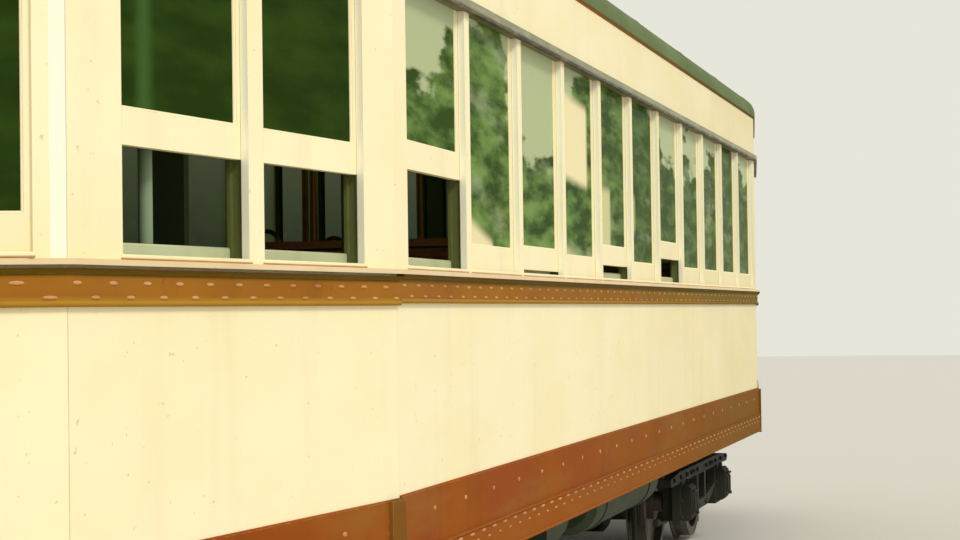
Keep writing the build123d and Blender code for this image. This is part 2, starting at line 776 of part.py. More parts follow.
def bulkheads():
    """A partition with a doorway between the saloon and each platform: two wings and a head."""
    width, height = BULKHEAD_DOOR
    inset = ROOF_T + LINING_GAP
    half = HALF_W + EAVE_OUT - inset
    section = roof_section(half, CROWN_Z - inset, SHOULDER_R - inset, EAVE_Z + LINING_GAP)
    x = BEND_X - BULKHEAD_IN
    top = extrude(Plane.YZ.offset(x) * section, BULKHEAD_T)
    wall = HALF_W - WALL_T - LINING_GAP
    panel = block((x, x + BULKHEAD_T), (-wall, wall), (FLOOR_Z, EAVE_Z + LINING_GAP)) + top
    panel = panel - block((x - 1, x + CUT), (-width / 2, width / 2), (FLOOR_Z - 1, FLOOR_Z + height))
    edge = (width / 2 + wall) / 2
    light = (wall - width / 2) / 3
    for side in (-1, 1):
        y = side * edge
        panel = panel - block((x - 1, x + CUT), (y - light, y + light), (STOOL_Z, WINDOW_TOP_Z))
    head = panel & block((x, x + BULKHEAD_T), (-width / 2, width / 2), (0, FAR))
    parts = [head]
    for side in (-1, 1):
        reach = sorted((side * width / 2, side * FAR))
        parts.append(panel & block((x, x + BULKHEAD_T), reach, (0, FAR)))
    save("bulkheads", *parts, *[mirror(part, Plane.YZ) for part in parts])


def trace_bench():
    """The bench's outline as a closed loop of lines and arcs, with the seat level."""
    top = FLOOR_Z + BENCH_SEAT_Z
    bend = BENCH_SEAT_D / 6
    front = BENCH_SEAT_D / 2
    rear = -BENCH_SEAT_D / 2
    tip = (rear - BENCH_BACK_LEAN, top + BENCH_BACK_H)
    inner = FilletPolyline((front, top), (rear + BENCH_T, top), (tip[0] + BENCH_T, tip[1]), radius=bend)
    low = top - BENCH_T
    outer = FilletPolyline(tip, (rear, low), (front, low), radius=bend + BENCH_T)
    return [*inner.edges(), Line(inner @ 1, outer @ 0), *outer.edges(), Line(outer @ 1, inner @ 0)]


def benches():
    """Crosswise benches on both sides of the aisle, one row a window, on cast iron legs."""
    seats = []
    legs = []
    seat_top = FLOOR_Z + BENCH_SEAT_Z
    for row in range(WINDOW_COUNT - 1):
        x = FIRST_WINDOW_X - (row + 0.5) * WINDOW_PITCH
        for side in (-1, 1):
            outer = side * (HALF_W - WALL_T - BENCH_GAP)
            middle = outer - side * BENCH_W / 2
            face = Plane.XZ * make_face(trace_bench())
            seats.append(Pos(x, middle + BENCH_W / 2, 0) * extrude(face, BENCH_W))
            for place in (-1, 1):
                y = middle + place * (BENCH_W / 2 - LEG_INSET)
                height = (FLOOR_Z, seat_top - BENCH_T)
                leg = block((x - LEG_W / 2, x + LEG_W / 2), (y - LEG_T / 2, y + LEG_T / 2), height)
                legs.append(leg)
    save("seat_benches", *seats)
    save("seat_frames", *legs)


def grab_poles():
    """Upright poles from the floor to the ceiling, beside the aisle at every other bench."""
    inset = ROOF_T + LINING_GAP
    ceiling = roof_vault(inset)
    poles = []
    for row in range(1, WINDOW_COUNT - 2, 2):
        x = FIRST_WINDOW_X - (row + 0.5) * WINDOW_PITCH - BENCH_SEAT_D / 2 - 2 * POLE_D
        for side in (-1, 1):
            rod = Pos(x, side * POLE_Y, (FLOOR_Z + CROWN_Z) / 2) * Cylinder(POLE_D / 2, CROWN_Z - FLOOR_Z)
            room = ceiling + block((-BEND_X, BEND_X), (-HALF_W, HALF_W), (FLOOR_Z, EAVE_Z + 1))
            poles.append(rod & room)
    save("grab_poles", *poles)


def cab_gear():
    """The driver's controller and the hand brake column, on the front platform."""
    back, y = CONTROLLER_AT
    x = NOSE_X - back
    z = FLOOR_Z + CONTROLLER_H / 2
    cabinet = Pos(x, y, z) * drum(CONTROLLER_D, CONTROLLER_H, bevel=CONTROLLER_D / 10)
    across = (y - CONTROLLER_D, y + CONTROLLER_D)
    cabinet = cabinet - block((x + CONTROLLER_D / 3, x + CONTROLLER_D), across, (0, FAR))
    crank_z = FLOOR_Z + CONTROLLER_H
    crank = Pos(x, y, crank_z + CONTROLLER_D / 10) * Cylinder(CONTROLLER_D / 12, CONTROLLER_D / 5)
    arm_z = (crank_z + CONTROLLER_D / 8, crank_z + CONTROLLER_D / 5)
    arm = block((x - CONTROLLER_D / 2, x), (y - CRANK_T / 2, y + CRANK_T / 2), arm_z)
    controller = cabinet + crank + arm
    back, y = BRAKE_COLUMN_AT
    x = NOSE_X - back
    post = Pos(x, y, FLOOR_Z + BRAKE_COLUMN_H / 2) * Cylinder(BRAKE_COLUMN_D / 2, BRAKE_COLUMN_H)
    foot = Pos(x, y, FLOOR_Z + BRAKE_COLUMN_D / 4) * Cylinder(BRAKE_FOOT_D / 2, BRAKE_COLUMN_D / 2)
    top = FLOOR_Z + BRAKE_COLUMN_H
    bar = BRAKE_COLUMN_D / 8
    half = BRAKE_WHEEL_D / 2
    rim = Pos(x, y, top) * (Cylinder(half + bar, 2 * bar) - Cylinder(half - bar, 3 * bar))
    spoke = block((x - half, x + half), (y - bar, y + bar), (top - bar, top + bar))
    cross = block((x - bar, x + bar), (y - half, y + half), (top - bar, top + bar))
    save("cab_gear", controller, post + foot + rim + spoke + cross)


def hung_box(size, place):
    """A box hung from the underframe by two hangers, and its place."""
    x, y = place
    top = WALL_Z - HANGER_T
    box = block((x - size[0] / 2, x + size[0] / 2), (y - size[1] / 2, y + size[1] / 2), (top - size[2], top))
    for side in (-1, 1):
        middle = x + side * size[0] / 3
        strap = (middle - HANGER_T, middle + HANGER_T)
        reach = HALF_W - WALL_T - SIDE_SILL_W / 2
        ends = sorted((y / abs(y) * reach, y - y / abs(y) * size[1] / 2))
        box = box + block(strap, ends, (top, WALL_Z))
    return box


def floor_gear():
    """Air tank, resistor grids, switch group and compressor, hung under the saloon."""
    x, y = TANK_AT
    top = WALL_Z - HANGER_T
    tank = Pos(x, y, top - TANK_D / 2) * drum(TANK_D, TANK_L, "X", TANK_D / 8)
    for side in (-1, 1):
        middle = x + side * TANK_L / 3
        band = Pos(middle, y, top - TANK_D / 2) * drum(TANK_D + HANGER_T / 2, TANK_STRAP_W, "X")
        reach = HALF_W - WALL_T - SIDE_SILL_W / 2
        strap = (middle - TANK_STRAP_W / 2, middle + TANK_STRAP_W / 2)
        foot = block(strap, (y - TANK_D / 2, reach), (top - HANGER_T, WALL_Z))
        tank = tank + (band & block((x - TANK_L, x + TANK_L), (-FAR, FAR), (0, WALL_Z))) + foot
    grids = hung_box(GRID_BOX, GRID_AT)
    x, y = GRID_AT
    pitch = GRID_BOX[0] / GRID_FINS
    for number in range(GRID_FINS):
        slot = x - GRID_BOX[0] / 2 + pitch * (number + 0.5)
        outer = (-FAR, y - GRID_BOX[1] / 2 + GRID_FIN_T * 3)
        span = (top - GRID_BOX[2] + GRID_FIN_T * 3, top - GRID_FIN_T * 3)
        grids = grids - block((slot - pitch / 2 + GRID_FIN_T, slot + pitch / 2 - GRID_FIN_T), outer, span)
    x, y = COMPRESSOR_AT
    length, width, height = COMPRESSOR_BOX
    motor = Pos(x - length / 6, y, top - height / 2) * drum(height, length * 2 / 3, "X", height / 10)
    crank = block((x + length / 8, x + length / 2), (y - width / 2, y + width / 2), (top - height, top))
    reach = HALF_W - WALL_T - SIDE_SILL_W / 2
    strap = block((x + length / 5, x + length / 2.5), (y, reach), (top, WALL_Z))
    switches = hung_box(SWITCH_BOX, SWITCH_AT)
    save("floor_gear", tank, grids, switches, motor + crank + strap)


def lifeguard():
    """A slatted tray under the front platform, ahead of the wheels."""
    x = BEND_X + GUARD_AT
    half = GUARD_W / 2
    tray = Part()
    for place in (x, x + GUARD_D - GUARD_BAR):
        tray = tray + block((place, place + GUARD_BAR), (-half, half), (GUARD_Z, GUARD_Z + GUARD_BAR))
    pitch = (GUARD_W - GUARD_BAR) / (GUARD_SLATS - 1)
    for number in range(GUARD_SLATS):
        y = -half + number * pitch
        tray = tray + block((x, x + GUARD_D), (y, y + GUARD_BAR), (GUARD_Z, GUARD_Z + GUARD_BAR))
    inner = CENTRE_SILL_GAP / 2
    for y in ((-inner - CENTRE_SILL_W, -inner), (inner, inner + CENTRE_SILL_W)):
        tray = tray + block((x, x + GUARD_BAR), y, (GUARD_Z, WALL_Z))
    save("lifeguard", tray)


def roof_gear():
    """The trolley boards on their bearers, the ventilators and the rest for the pole."""
    vault = roof_vault(0)
    total = BOARD_COUNT * BOARD_W + (BOARD_COUNT - 1) * BOARD_GAP
    x = (BOARD_X - BOARD_L / 2, BOARD_X + BOARD_L / 2)
    deck = Part()
    for number in range(BOARD_COUNT):
        y = -total / 2 + number * (BOARD_W + BOARD_GAP)
        deck = deck + block(x, (y, y + BOARD_W), (DECK_Z - BOARD_T, DECK_Z))
    pitch = (BOARD_L - ROOF_BEARER_W) / (BEARER_COUNT - 1)
    for number in range(BEARER_COUNT):
        start = x[0] + number * pitch
        height = (ROOF_SEAT_Z, DECK_Z - BOARD_T)
        bearer = block((start, start + ROOF_BEARER_W), (-total / 2, total / 2), height)
        deck = deck + (bearer - vault)
    save("trolley_boards", deck)
    vents = []
    crown_r = crown_radius(HALF_W + EAVE_OUT, CROWN_Z, SHOULDER_R)
    for number in range(VENT_COUNT):
        vent_x = (number - (VENT_COUNT - 1) / 2) * 2 * WINDOW_PITCH
        for side in (-1, 1):
            top = CROWN_Z + VENT_H - VENT_Y ** 2 / (2 * crown_r)
            neck = Cylinder(VENT_D / 3, top - ROOF_SEAT_Z)
            neck = Pos(vent_x, side * VENT_Y, (ROOF_SEAT_Z + top) / 2) * neck
            cap = Pos(vent_x, side * VENT_Y, top - VENT_H / 4) * drum(VENT_D, VENT_H / 2, bevel=VENT_H / 6)
            vents.append((neck + cap) - vault)
    save("ventilators", *vents)
    top = HINGE_Z - POLE_BUTT_D / 2 - REST_GAP
    length = (REST_X - POLE_D, REST_X + POLE_D)
    post = block(length, (-REST_W / 2, REST_W / 2), (ROOF_SEAT_Z, top))
    notch = block(length, (-REST_W / 4, REST_W / 4), (CROWN_Z + REST_W / 4, top - POLE_D / 2))
    save("pole_rest", post - vault - notch)


def trolley():
    """A turntable with a hinged pole that lies back along the roof, and a grooved wheel."""
    table = Pos(TROLLEY_X, 0, DECK_Z + TURNTABLE_H / 2 + SWIVEL_CLEAR)
    base = table * drum(TURNTABLE_D, TURNTABLE_H, bevel=TURNTABLE_H / 4)
    inner = POLE_BUTT_D / 2 + TROLLEY_SIDE_CLEAR
    plate_top = DECK_Z + TURNTABLE_H + SWIVEL_CLEAR
    for side in (-1, 1):
        ear = sorted((side * inner, side * (inner + TROLLEY_EAR_T)))
        base = base + block(
            (TROLLEY_X - TROLLEY_POST_W / 2, TROLLEY_X + TROLLEY_POST_W / 2),
            ear,
            (plate_top - SWIVEL_CLEAR, HINGE_Z + TROLLEY_PIN_D),
        )
        barrel_y = side * (inner + TROLLEY_EAR_T / 2 + SPRING_BARREL_D / 2)
        barrel = Pos(TROLLEY_X - SPRING_BARREL_L / 4, barrel_y, HINGE_Z - SPRING_BARREL_D / 2)
        base = base + barrel * drum(SPRING_BARREL_D, SPRING_BARREL_L, "X", SPRING_BARREL_D / 8)
    pin = Pos(TROLLEY_X, 0, HINGE_Z) * Cylinder(
        TROLLEY_PIN_D / 2, 2 * (inner + TROLLEY_EAR_T + HARP_T), rotation=(90, 0, 0)
    )
    save("trolley_base", base + pin)
    tip_x = TROLLEY_X - POLE_L
    boss = Pos(TROLLEY_X, 0, HINGE_Z) * drum(POLE_BOSS_D, POLE_BUTT_D, "Y")
    butt_at_origin = (Align.CENTER, Align.CENTER, Align.MIN)
    taper = Cone(POLE_BUTT_D / 2, POLE_TIP_D / 2, POLE_L, rotation=(0, -90, 0), align=butt_at_origin)
    rod = Pos(TROLLEY_X, 0, HINGE_Z) * taper
    fork_in = TROLLEY_WHEEL_T / 2 + HARP_CLEAR
    harp_z = (HINGE_Z - POLE_TIP_D / 2, HINGE_Z + POLE_TIP_D / 2)
    wheel_x = tip_x - HARP_L + HARP_T * 2
    harp = block((tip_x - HARP_T, tip_x + HARP_T * 4), (-fork_in - HARP_T, fork_in + HARP_T), harp_z)
    for side in (-1, 1):
        cheek = sorted((side * fork_in, side * (fork_in + HARP_T)))
        harp = harp + block((tip_x - HARP_L, tip_x + HARP_T), cheek, harp_z)
    spindle = Pos(wheel_x, 0, HINGE_Z) * Cylinder(SPINDLE_D / 2, 2 * (fork_in + HARP_T), rotation=(90, 0, 0))
    bore = Pos(TROLLEY_X, 0, HINGE_Z) * Cylinder(TROLLEY_PIN_D / 2 + BEARING_CLEAR, FAR, rotation=(90, 0, 0))
    save("trolley_pole", boss + rod + harp + spindle - bore)
    rim = TROLLEY_WHEEL_D / 2
    groove = rim - TROLLEY_WHEEL_T / 2
    half = TROLLEY_WHEEL_T / 2
    mouth, throat = (width / 2 for width in TROLLEY_GROOVE)
    hole = SPINDLE_D / 2 + BEARING_CLEAR
    outline = Polyline(
        (hole, -half),
        (rim, -half),
        (rim, -mouth),
        (groove, -throat),
        (groove, throat),
        (rim, mouth),
        (rim, half),
        (hole, half),
        close=True,
    )
    wheel = revolve(Plane.XZ * make_face(outline), Axis.Z)
    save("trolley_wheel", Pos(wheel_x, 0, HINGE_Z) * Rot(90, 0, 0) * wheel)


def wheelset():
    """Two wheels on one axle, turned about the Y axis: treads coned, flanges inside."""
    tread = WHEEL_D / 2
    rim_in = WHEEL_BACK_Y
    rim_out = WHEEL_FACE_Y
    web = (rim_in + rim_out) / 2
    journal_end = JOURNAL_Y + JOURNAL_L / 2
    journal_start = JOURNAL_Y - JOURNAL_L / 2 - BOX_WALL
    half = [
        (0, 0),
        (AXLE_D / 2, 0),
        (AXLE_D / 2, rim_in - AXLE_SHOULDER),
        (HUB_D / 2, rim_in - AXLE_SHOULDER),
        (HUB_D / 2, web - WEB_T / 2),
        (tread - RIM_T, web - WEB_T / 2),
        (tread - RIM_T, rim_in),
        (tread + FLANGE_H, rim_in + FLANGE_T * FLANGE_FLAT[0]),
        (tread + FLANGE_H, rim_in + FLANGE_T * FLANGE_FLAT[1]),
        (tread, rim_in + FLANGE_T),
        (tread - TREAD_FALL, rim_out),
        (tread - RIM_T, rim_out),
        (tread - RIM_T, web + WEB_T / 2),
        (HUB_D / 2, web + WEB_T / 2),
        (HUB_D / 2, rim_out),
        (AXLE_D / 2, rim_out),
        (AXLE_D / 2, journal_start - JOURNAL_NECK),
        (JOURNAL_D / 2, journal_start),
        (JOURNAL_D / 2, journal_end),
        (0, journal_end),
    ]
    side = revolve(Plane.XY * make_face(Polyline(*half, close=True)), Axis.Y)
    return side + mirror(side, Plane.XZ)


def side_frame():
    """A truck's side frame from the side: a top bar, pedestal jaws about each box and ties."""
    top = SIDE_FRAME_TOP
    low = AXLE_Z - BOX_H / 2 - BEARING_CLEAR - TIE_BAR_H
    half = TRUCK_L / 2
    jaw = BOX_W / 2 + BEARING_CLEAR
    leg = jaw + PEDESTAL_W
    axle = TRUCK_WHEELBASE / 2
    bar = top - SIDE_FRAME_BAR
    roof_z = AXLE_Z + BOX_H / 2 + BEARING_CLEAR
    outer = [
        (half, top - SIDE_FRAME_BAR / 3),
        (axle + leg, top),
        (-axle - leg, top),
        (-half, top - SIDE_FRAME_BAR / 3),
        (-half, bar),
        (-axle - leg, bar),
        (-axle - leg + PEDESTAL_W / 3, low),
        (-axle + leg - PEDESTAL_W / 3, low),
        (-axle + leg, PLANK_TOP + PLANK_T * 2),
        (-BOLSTER_W, PLANK_TOP - PLANK_T),
        (BOLSTER_W, PLANK_TOP - PLANK_T),
        (axle - leg, PLANK_TOP + PLANK_T * 2),
        (axle - leg + PEDESTAL_W / 3, low),
        (axle + leg - PEDESTAL_W / 3, low),
        (axle + leg, bar),
        (half, bar),
    ]
    plate = make_face(Polyline(*outer, close=True))
    for side in (-1, 1):
        x = side * axle
        slot = Pos(x, (low + TIE_BAR_H + roof_z) / 2) * Rectangle(2 * jaw, roof_z - low - TIE_BAR_H)
        plate = plate - slot
    gap = axle - leg - PEDESTAL_W / 3
    post = BOLSTER_W / 2 + TRANSOM_T
    well = Polyline(
        (gap, bar),
        (post + PEDESTAL_W, bar),
        (post + PEDESTAL_W / 2, PLANK_TOP + PLANK_T),
        (gap, PLANK_TOP + PLANK_T * 3),
        close=True,
    )
    window = make_face(well)
    middle = Pos(0, (PLANK_TOP + bar) / 2) * Rectangle(BOLSTER_W, bar - PLANK_TOP)
    plate = plate - window - mirror(window, Plane.YZ) - middle
    return extrude(Plane.XZ * plate, SIDE_FRAME_T / 2, both=True)


def axle_box():
    """A journal box: a rounded housing, closed outside by a sloping lid."""
    depth = BOX_D / 2
    body = Box(BOX_W, BOX_D, BOX_H)
    body = chamfer(body.edges().filter_by(Axis.X).sort_by(Axis.Y)[:2], BOX_WALL)
    bore_l = JOURNAL_L + BOX_WALL * 2
    bore = Cylinder(JOURNAL_D / 2 + BEARING_CLEAR, bore_l, rotation=(90, 0, 0))
    bore = Pos(0, depth - bore_l / 2, 0) * bore
    lid = Pos(0, -depth, 0) * Box(BOX_LID[0], BOX_WALL, BOX_LID[1])
    return body - bore + lid


def truck(name, x):
    """One truck: side frames, cross members, boxes, bolster on springs, motors and wheelsets."""
    place = Pos(x, 0, 0)
    frame_y = JOURNAL_Y
    inner_y = frame_y - SIDE_FRAME_T / 2
    frames = [place * Pos(0, side * frame_y, 0) * side_frame() for side in (-1, 1)]
    save(f"side_frames_{name}", *frames)
    ties = []
    end_bars = {-1: 1, 1: 3}
    bar = SIDE_FRAME_TOP - SIDE_FRAME_BAR
    for side in (-1, 1):
        near = BOLSTER_W / 2 + TRANSOM_CLEAR
        transom = sorted((side * near, side * (near + TRANSOM_T)))
        height = (PLANK_TOP + PLANK_T, SIDE_FRAME_TOP)
        ties.append(place * block(transom, (-inner_y, inner_y), height))
        end = sorted((side * TRUCK_L / 2, side * (TRUCK_L / 2 - SIDE_FRAME_T)))
        height = (bar, SIDE_FRAME_TOP - SIDE_FRAME_BAR / 3)
        ties.append(place * block(end, (-inner_y, inner_y), height))
    plank_y = inner_y + SIDE_FRAME_T
    plank_z = (PLANK_TOP, PLANK_TOP + PLANK_T)
    ties.append(place * block((-BOLSTER_W / 2, BOLSTER_W / 2), (-plank_y, plank_y), plank_z))
    boxes = []
    for side in (-1, 1):
        for axle in (-1, 1):
            spot = Pos(x + axle * TRUCK_WHEELBASE / 2, side * frame_y, AXLE_Z)
            boxes.append(spot * Rot(0, 0, 180 if side > 0 else 0) * axle_box())
    save(f"axle_boxes_{name}", *boxes)
    bolster_low = BOLSTER_TOP - BOLSTER_H
    beam = block((-BOLSTER_W / 2, BOLSTER_W / 2), (-frame_y, frame_y), (bolster_low, BOLSTER_TOP))
    plate_top = BOLSTER_TOP + (WALL_Z - BOLSTER_TOP) / 2
    beam = beam - block((-FAR, FAR), (inner_y, FAR), (0, SIDE_FRAME_TOP + 1))
    beam = beam - block((-FAR, FAR), (-FAR, -inner_y), (0, SIDE_FRAME_TOP + 1))
    plate = Cylinder(CENTRE_PLATE_D / 2, plate_top - BOLSTER_TOP)
    beam = beam + Pos(0, 0, (BOLSTER_TOP + plate_top) / 2) * plate
    beam = beam + Pos(0, 0, plate_top + KING_PIN_L / 2) * Cylinder(KING_PIN_D / 2, KING_PIN_L)
    coil = (bolster_low - PLANK_TOP - PLANK_T) / SPRING_TURNS
    points = [(0, 0)]
    for turn in range(SPRING_TURNS):
        points.append((SPRING_D / 2 - coil / 3, turn * coil))
        points.append((SPRING_D / 2, (turn + 0.5) * coil))
    points.append((SPRING_D / 2 - coil / 3, SPRING_TURNS * coil))
    points.append((0, SPRING_TURNS * coil))
    stack = revolve(Plane.XZ * make_face(Polyline(*points, close=True)), Axis.Z)
    for side in (-1, 1):
        beam = beam + Pos(0, side * (inner_y - SPRING_D), PLANK_TOP + PLANK_T) * stack
    save(f"bolster_{name}", place * beam)
    motors = []
    for axle in (-1, 1):
        axle_x = axle * TRUCK_WHEELBASE / 2
        body_x = axle_x - axle * MOTOR_REACH
        motor = Pos(body_x, 0, AXLE_Z) * drum(MOTOR_D, MOTOR_L, "Y", MOTOR_D / 16)
        for side in (-1, 1):
            y = side * (MOTOR_L / 2 - NOSE_BEARING_D / 3)
            width = NOSE_BEARING_D / 3
            arm = sorted((body_x, axle_x))
            rise = NOSE_BEARING_D / 2
            motor = motor + block(arm, (y - width, y + width), (AXLE_Z - rise, AXLE_Z + rise))
            motor = motor + Pos(axle_x, y, AXLE_Z) * drum(NOSE_BEARING_D, width * 2, "Y")
        bore = Pos(axle_x, 0, AXLE_Z) * Cylinder(AXLE_D / 2 + BEARING_CLEAR, FAR, rotation=(90, 0, 0))
        motors.append(place * (motor - bore))
    save(f"motors_{name}", *motors)
    for axle in (-1, 1):
        for side in (-1, 1):
            wheel_x = axle * TRUCK_WHEELBASE / 2
            y = side * (WHEEL_FACE_Y - TREAD_W / 2)
            ring = Cylinder(WHEEL_D / 2 + BRAKE_GAP + BRAKE_SHOE_T, TREAD_W - FLANGE_T, rotation=(90, 0, 0))
            ring = ring - Cylinder(WHEEL_D / 2 + BRAKE_GAP, TREAD_W, rotation=(90, 0, 0))
            reach = sorted((axle * WHEEL_D / 4, axle * WHEEL_D))
            shoe = ring & block(reach, (-FAR, FAR), (-BRAKE_SHOE_H / 2, BRAKE_SHOE_H / 2))
            hanger_x = axle * (WHEEL_D / 2 + BRAKE_GAP + BRAKE_SHOE_T / 2)
            hanger = block(
                sorted((hanger_x, axle * (TRUCK_L / 2 - TRUCK_WHEELBASE / 2))),
                (-BRAKE_SHOE_T / 2, BRAKE_SHOE_T / 2),
                (-BRAKE_SHOE_H / 4, bar - AXLE_Z),
            )
            hanger = hanger - Cylinder(WHEEL_D / 2 + BRAKE_GAP, TREAD_W * 2, rotation=(90, 0, 0))
            brake = place * Pos(wheel_x, y, AXLE_Z) * (shoe + hanger)
            ties[end_bars[axle]] = ties[end_bars[axle]] + brake
    save(f"cross_members_{name}", *ties)
    for place_name, axle in (("leading", 1), ("trailing", -1)):
        spot = Pos(x + axle * TRUCK_WHEELBASE / 2, 0, AXLE_Z)
        save(f"wheelset_{name}_{place_name}", spot * wheelset())


os.makedirs("parts", exist_ok=True)
body_walls()
trim()
roof()
sashes()
doors()
steps()
floor()
underframe()
body_bolsters()
bumpers()
couplers()
lamps()
sign_box()
bulkheads()
benches()
grab_poles()
cab_gear()
floor_gear()
lifeguard()
roof_gear()
trolley()
truck("front", TRUCK_X)
truck("rear", -TRUCK_X)
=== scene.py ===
# %% [markdown]
# # The looks of an electric tram, built around its CAD frame
# The frame gives the real sizes: walls, roof, trucks, doors and the trolley pole. This notebook
# gives each of them a finish and adds the small things that a solid model leaves out: rivets,
# beads, nuts, springs, handles, straps and lamps. Every new piece is a surface worked out with
# numpy in metres, in the frame's own place, and rides on the body that carries it.

# %% Load the frame
import json

import bmesh
import bpy
import numpy as np
from mathutils import Matrix, Vector


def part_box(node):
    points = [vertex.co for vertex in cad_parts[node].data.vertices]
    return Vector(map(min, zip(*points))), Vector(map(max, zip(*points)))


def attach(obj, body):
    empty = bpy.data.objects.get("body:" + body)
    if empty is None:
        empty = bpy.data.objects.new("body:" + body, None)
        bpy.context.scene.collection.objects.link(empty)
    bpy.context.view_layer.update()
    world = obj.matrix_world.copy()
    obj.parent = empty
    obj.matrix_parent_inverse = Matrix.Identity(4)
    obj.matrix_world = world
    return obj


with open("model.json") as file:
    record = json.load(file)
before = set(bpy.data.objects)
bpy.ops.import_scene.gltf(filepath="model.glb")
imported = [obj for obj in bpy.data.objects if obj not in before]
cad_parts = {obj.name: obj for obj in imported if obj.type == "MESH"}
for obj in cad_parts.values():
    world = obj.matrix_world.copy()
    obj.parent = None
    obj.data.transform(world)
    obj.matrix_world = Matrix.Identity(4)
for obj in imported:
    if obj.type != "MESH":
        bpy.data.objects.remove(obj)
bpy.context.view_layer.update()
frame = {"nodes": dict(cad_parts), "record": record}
nodes = frame["nodes"]

# %% [markdown]
# ## The camera
# The photograph was taken close to the car's left side, looking back along it. The place, turn
# and lens were found by fitting the window posts, the belt and the roof line to the picture, so
# the numbers are kept as they came out. A tracking constraint could aim the camera, but it can't
# hold the slight roll, so the camera's axes are worked out here.

# %% Camera
CAMERA_AT = (10.3725, 3.200, 1.654)
CAMERA_YAW = np.radians(195.28)
CAMERA_TILT = np.radians(1.22)
CAMERA_ROLL = np.radians(-0.80)
LENS_MM = 75.56
SENSOR_MM = 36

view = np.array([
    np.cos(CAMERA_YAW) * np.cos(CAMERA_TILT), np.sin(CAMERA_YAW) * np.cos(CAMERA_TILT), np.sin(CAMERA_TILT)
])
level = np.cross(view, (0, 0, 1))
level = level / np.linalg.norm(level)
upward = np.cross(level, view)
right = np.cos(CAMERA_ROLL) * level + np.sin(CAMERA_ROLL) * upward
top = np.cos(CAMERA_ROLL) * upward - np.sin(CAMERA_ROLL) * level
camera_data = bpy.data.cameras.new("camera")
camera_data.lens = LENS_MM
camera_data.sensor_width = SENSOR_MM
camera = bpy.data.objects.new("camera", camera_data)
bpy.context.scene.collection.objects.link(camera)
axes = np.stack([right, top, -view, CAMERA_AT], axis=1)
camera.matrix_world = Matrix(np.vstack([axes, (0, 0, 0, 1)]).tolist())
bpy.context.scene.camera = camera
bpy.context.scene.view_settings.view_transform = "Standard"
print("camera at", CAMERA_AT, "lens", LENS_MM)

# %% [markdown]
# ## Writing shader trees as sums
# Most of a finish is arithmetic on masks: a noise, cut off softly, times an amount. A small class
# lets the signs +, - and * between two values place the Math nodes, so that a recipe reads like
# its formula. Positions are Object coordinates, so a pattern stays where it is on its piece.

# %% Node helpers


def tone(red, green, blue):
    """A colour from its 0 to 255 screen values: each is turned to linear light by the screen's curve."""
    value = np.array([red, green, blue]) / 255
    linear = np.where(value <= 0.04045, value / 12.92, ((value + 0.055) / 1.055) ** 2.4)
    return (*linear.tolist(), 1.0)


def add(tree, kind, **settings):
    """A node of a kind, with its properties set by name."""
    made = tree.nodes.new(kind)
    for key, value in settings.items():
        setattr(made, key, value)
    return made


class Value:
    """A number in a shader tree: each sign between two of them is one Math node."""

    def __init__(self, tree, socket):
        self.tree, self.socket = tree, socket

    def math(self, operation, *others, clamp=False):
        made = add(self.tree, "ShaderNodeMath", operation=operation, use_clamp=clamp)
        for value, target in zip((self, *others), made.inputs):
            join(self.tree, value, target)
        return Value(self.tree, made.outputs[0])

    def __add__(self, other):
        return self.math("ADD", other)

    def __sub__(self, other):
        return self.math("SUBTRACT", other)

    def __rsub__(self, other):
        return self.math("MULTIPLY_ADD", -1.0, other)

    def __mul__(self, other):
        return self.math("MULTIPLY", other)

    def __gt__(self, limit):
        return self.math("GREATER_THAN", limit)

    def __lt__(self, limit):
        return self.math("LESS_THAN", limit)


def join(tree, source, target):
    """A link from a value or an output to an input, or a plain value set on the input."""
    if isinstance(source, Value):
        source = source.socket
    if isinstance(source, bpy.types.NodeSocket):
        tree.links.new(source, target)
    else:
        target.default_value = source


def feed(tree, node, **values):
    """Sets or links a node's inputs by name, an underscore standing for a space."""
    for key, value in values.items():
        join(tree, value, node.inputs[key.replace("_", " ")])
    return node


def blend(tree, amount, first, second):
    """A colour mix from first to second by the amount."""
    made = add(tree, "ShaderNodeMix", data_type="RGBA")
    for source, place_number in ((amount, 0), (first, 6), (second, 7)):
        join(tree, source, made.inputs[place_number])
    return made.outputs[2]


def remap(value, low, high, new_low=0.0, new_high=1.0, kind="SMOOTHSTEP"):
    """A value's range from low to high, spread over a new range and clamped, with smooth ends."""
    made = add(value.tree, "ShaderNodeMapRange", interpolation_type=kind)
    for source, target in zip((value, low, high, new_low, new_high), made.inputs):
        join(value.tree, source, target)
    return Value(value.tree, made.outputs[0])


def band(value, low, high, soft):
    """A mask that is 1 between two limits, with borders as soft as asked."""
    return remap(value, low - soft, low + soft) * remap(value, high - soft, high + soft, 1.0, 0.0)


def noise(tree, where, scale, detail=3.0, roughness=0.55):
    """Soft noise over a vector, or over Object coordinates stretched by three factors."""
    if isinstance(where, tuple):
        here = add(tree, "ShaderNodeTexCoord").outputs["Object"]
        where = feed(tree, add(tree, "ShaderNodeMapping"), Vector=here, Scale=where).outputs[0]
    made = add(tree, "ShaderNodeTexNoise")
    feed(tree, made, Vector=where, Scale=scale, Detail=detail, Roughness=roughness)
    return Value(tree, made.outputs[0])


EVEN = (1, 1, 1)


def parts(tree, vector):
    """A vector's X, Y and Z as three values."""
    split = feed(tree, add(tree, "ShaderNodeSeparateXYZ"), Vector=vector)
    return [Value(tree, socket) for socket in split.outputs]


def position(tree):
    """The point's own X, Y and Z in the piece."""
    return parts(tree, add(tree, "ShaderNodeTexCoord").outputs["Object"])


def facing(tree):
    """The X, Y and Z of the face's outward direction."""
    return parts(tree, add(tree, "ShaderNodeNewGeometry").outputs["Normal"])


def vector_math(tree, operation, first, second):
    """A Vector Math node on two vectors, as its outputs."""
    made = add(tree, "ShaderNodeVectorMath", operation=operation)
    join(tree, first, made.inputs[0])
    join(tree, second, made.inputs[1])
    return made.outputs


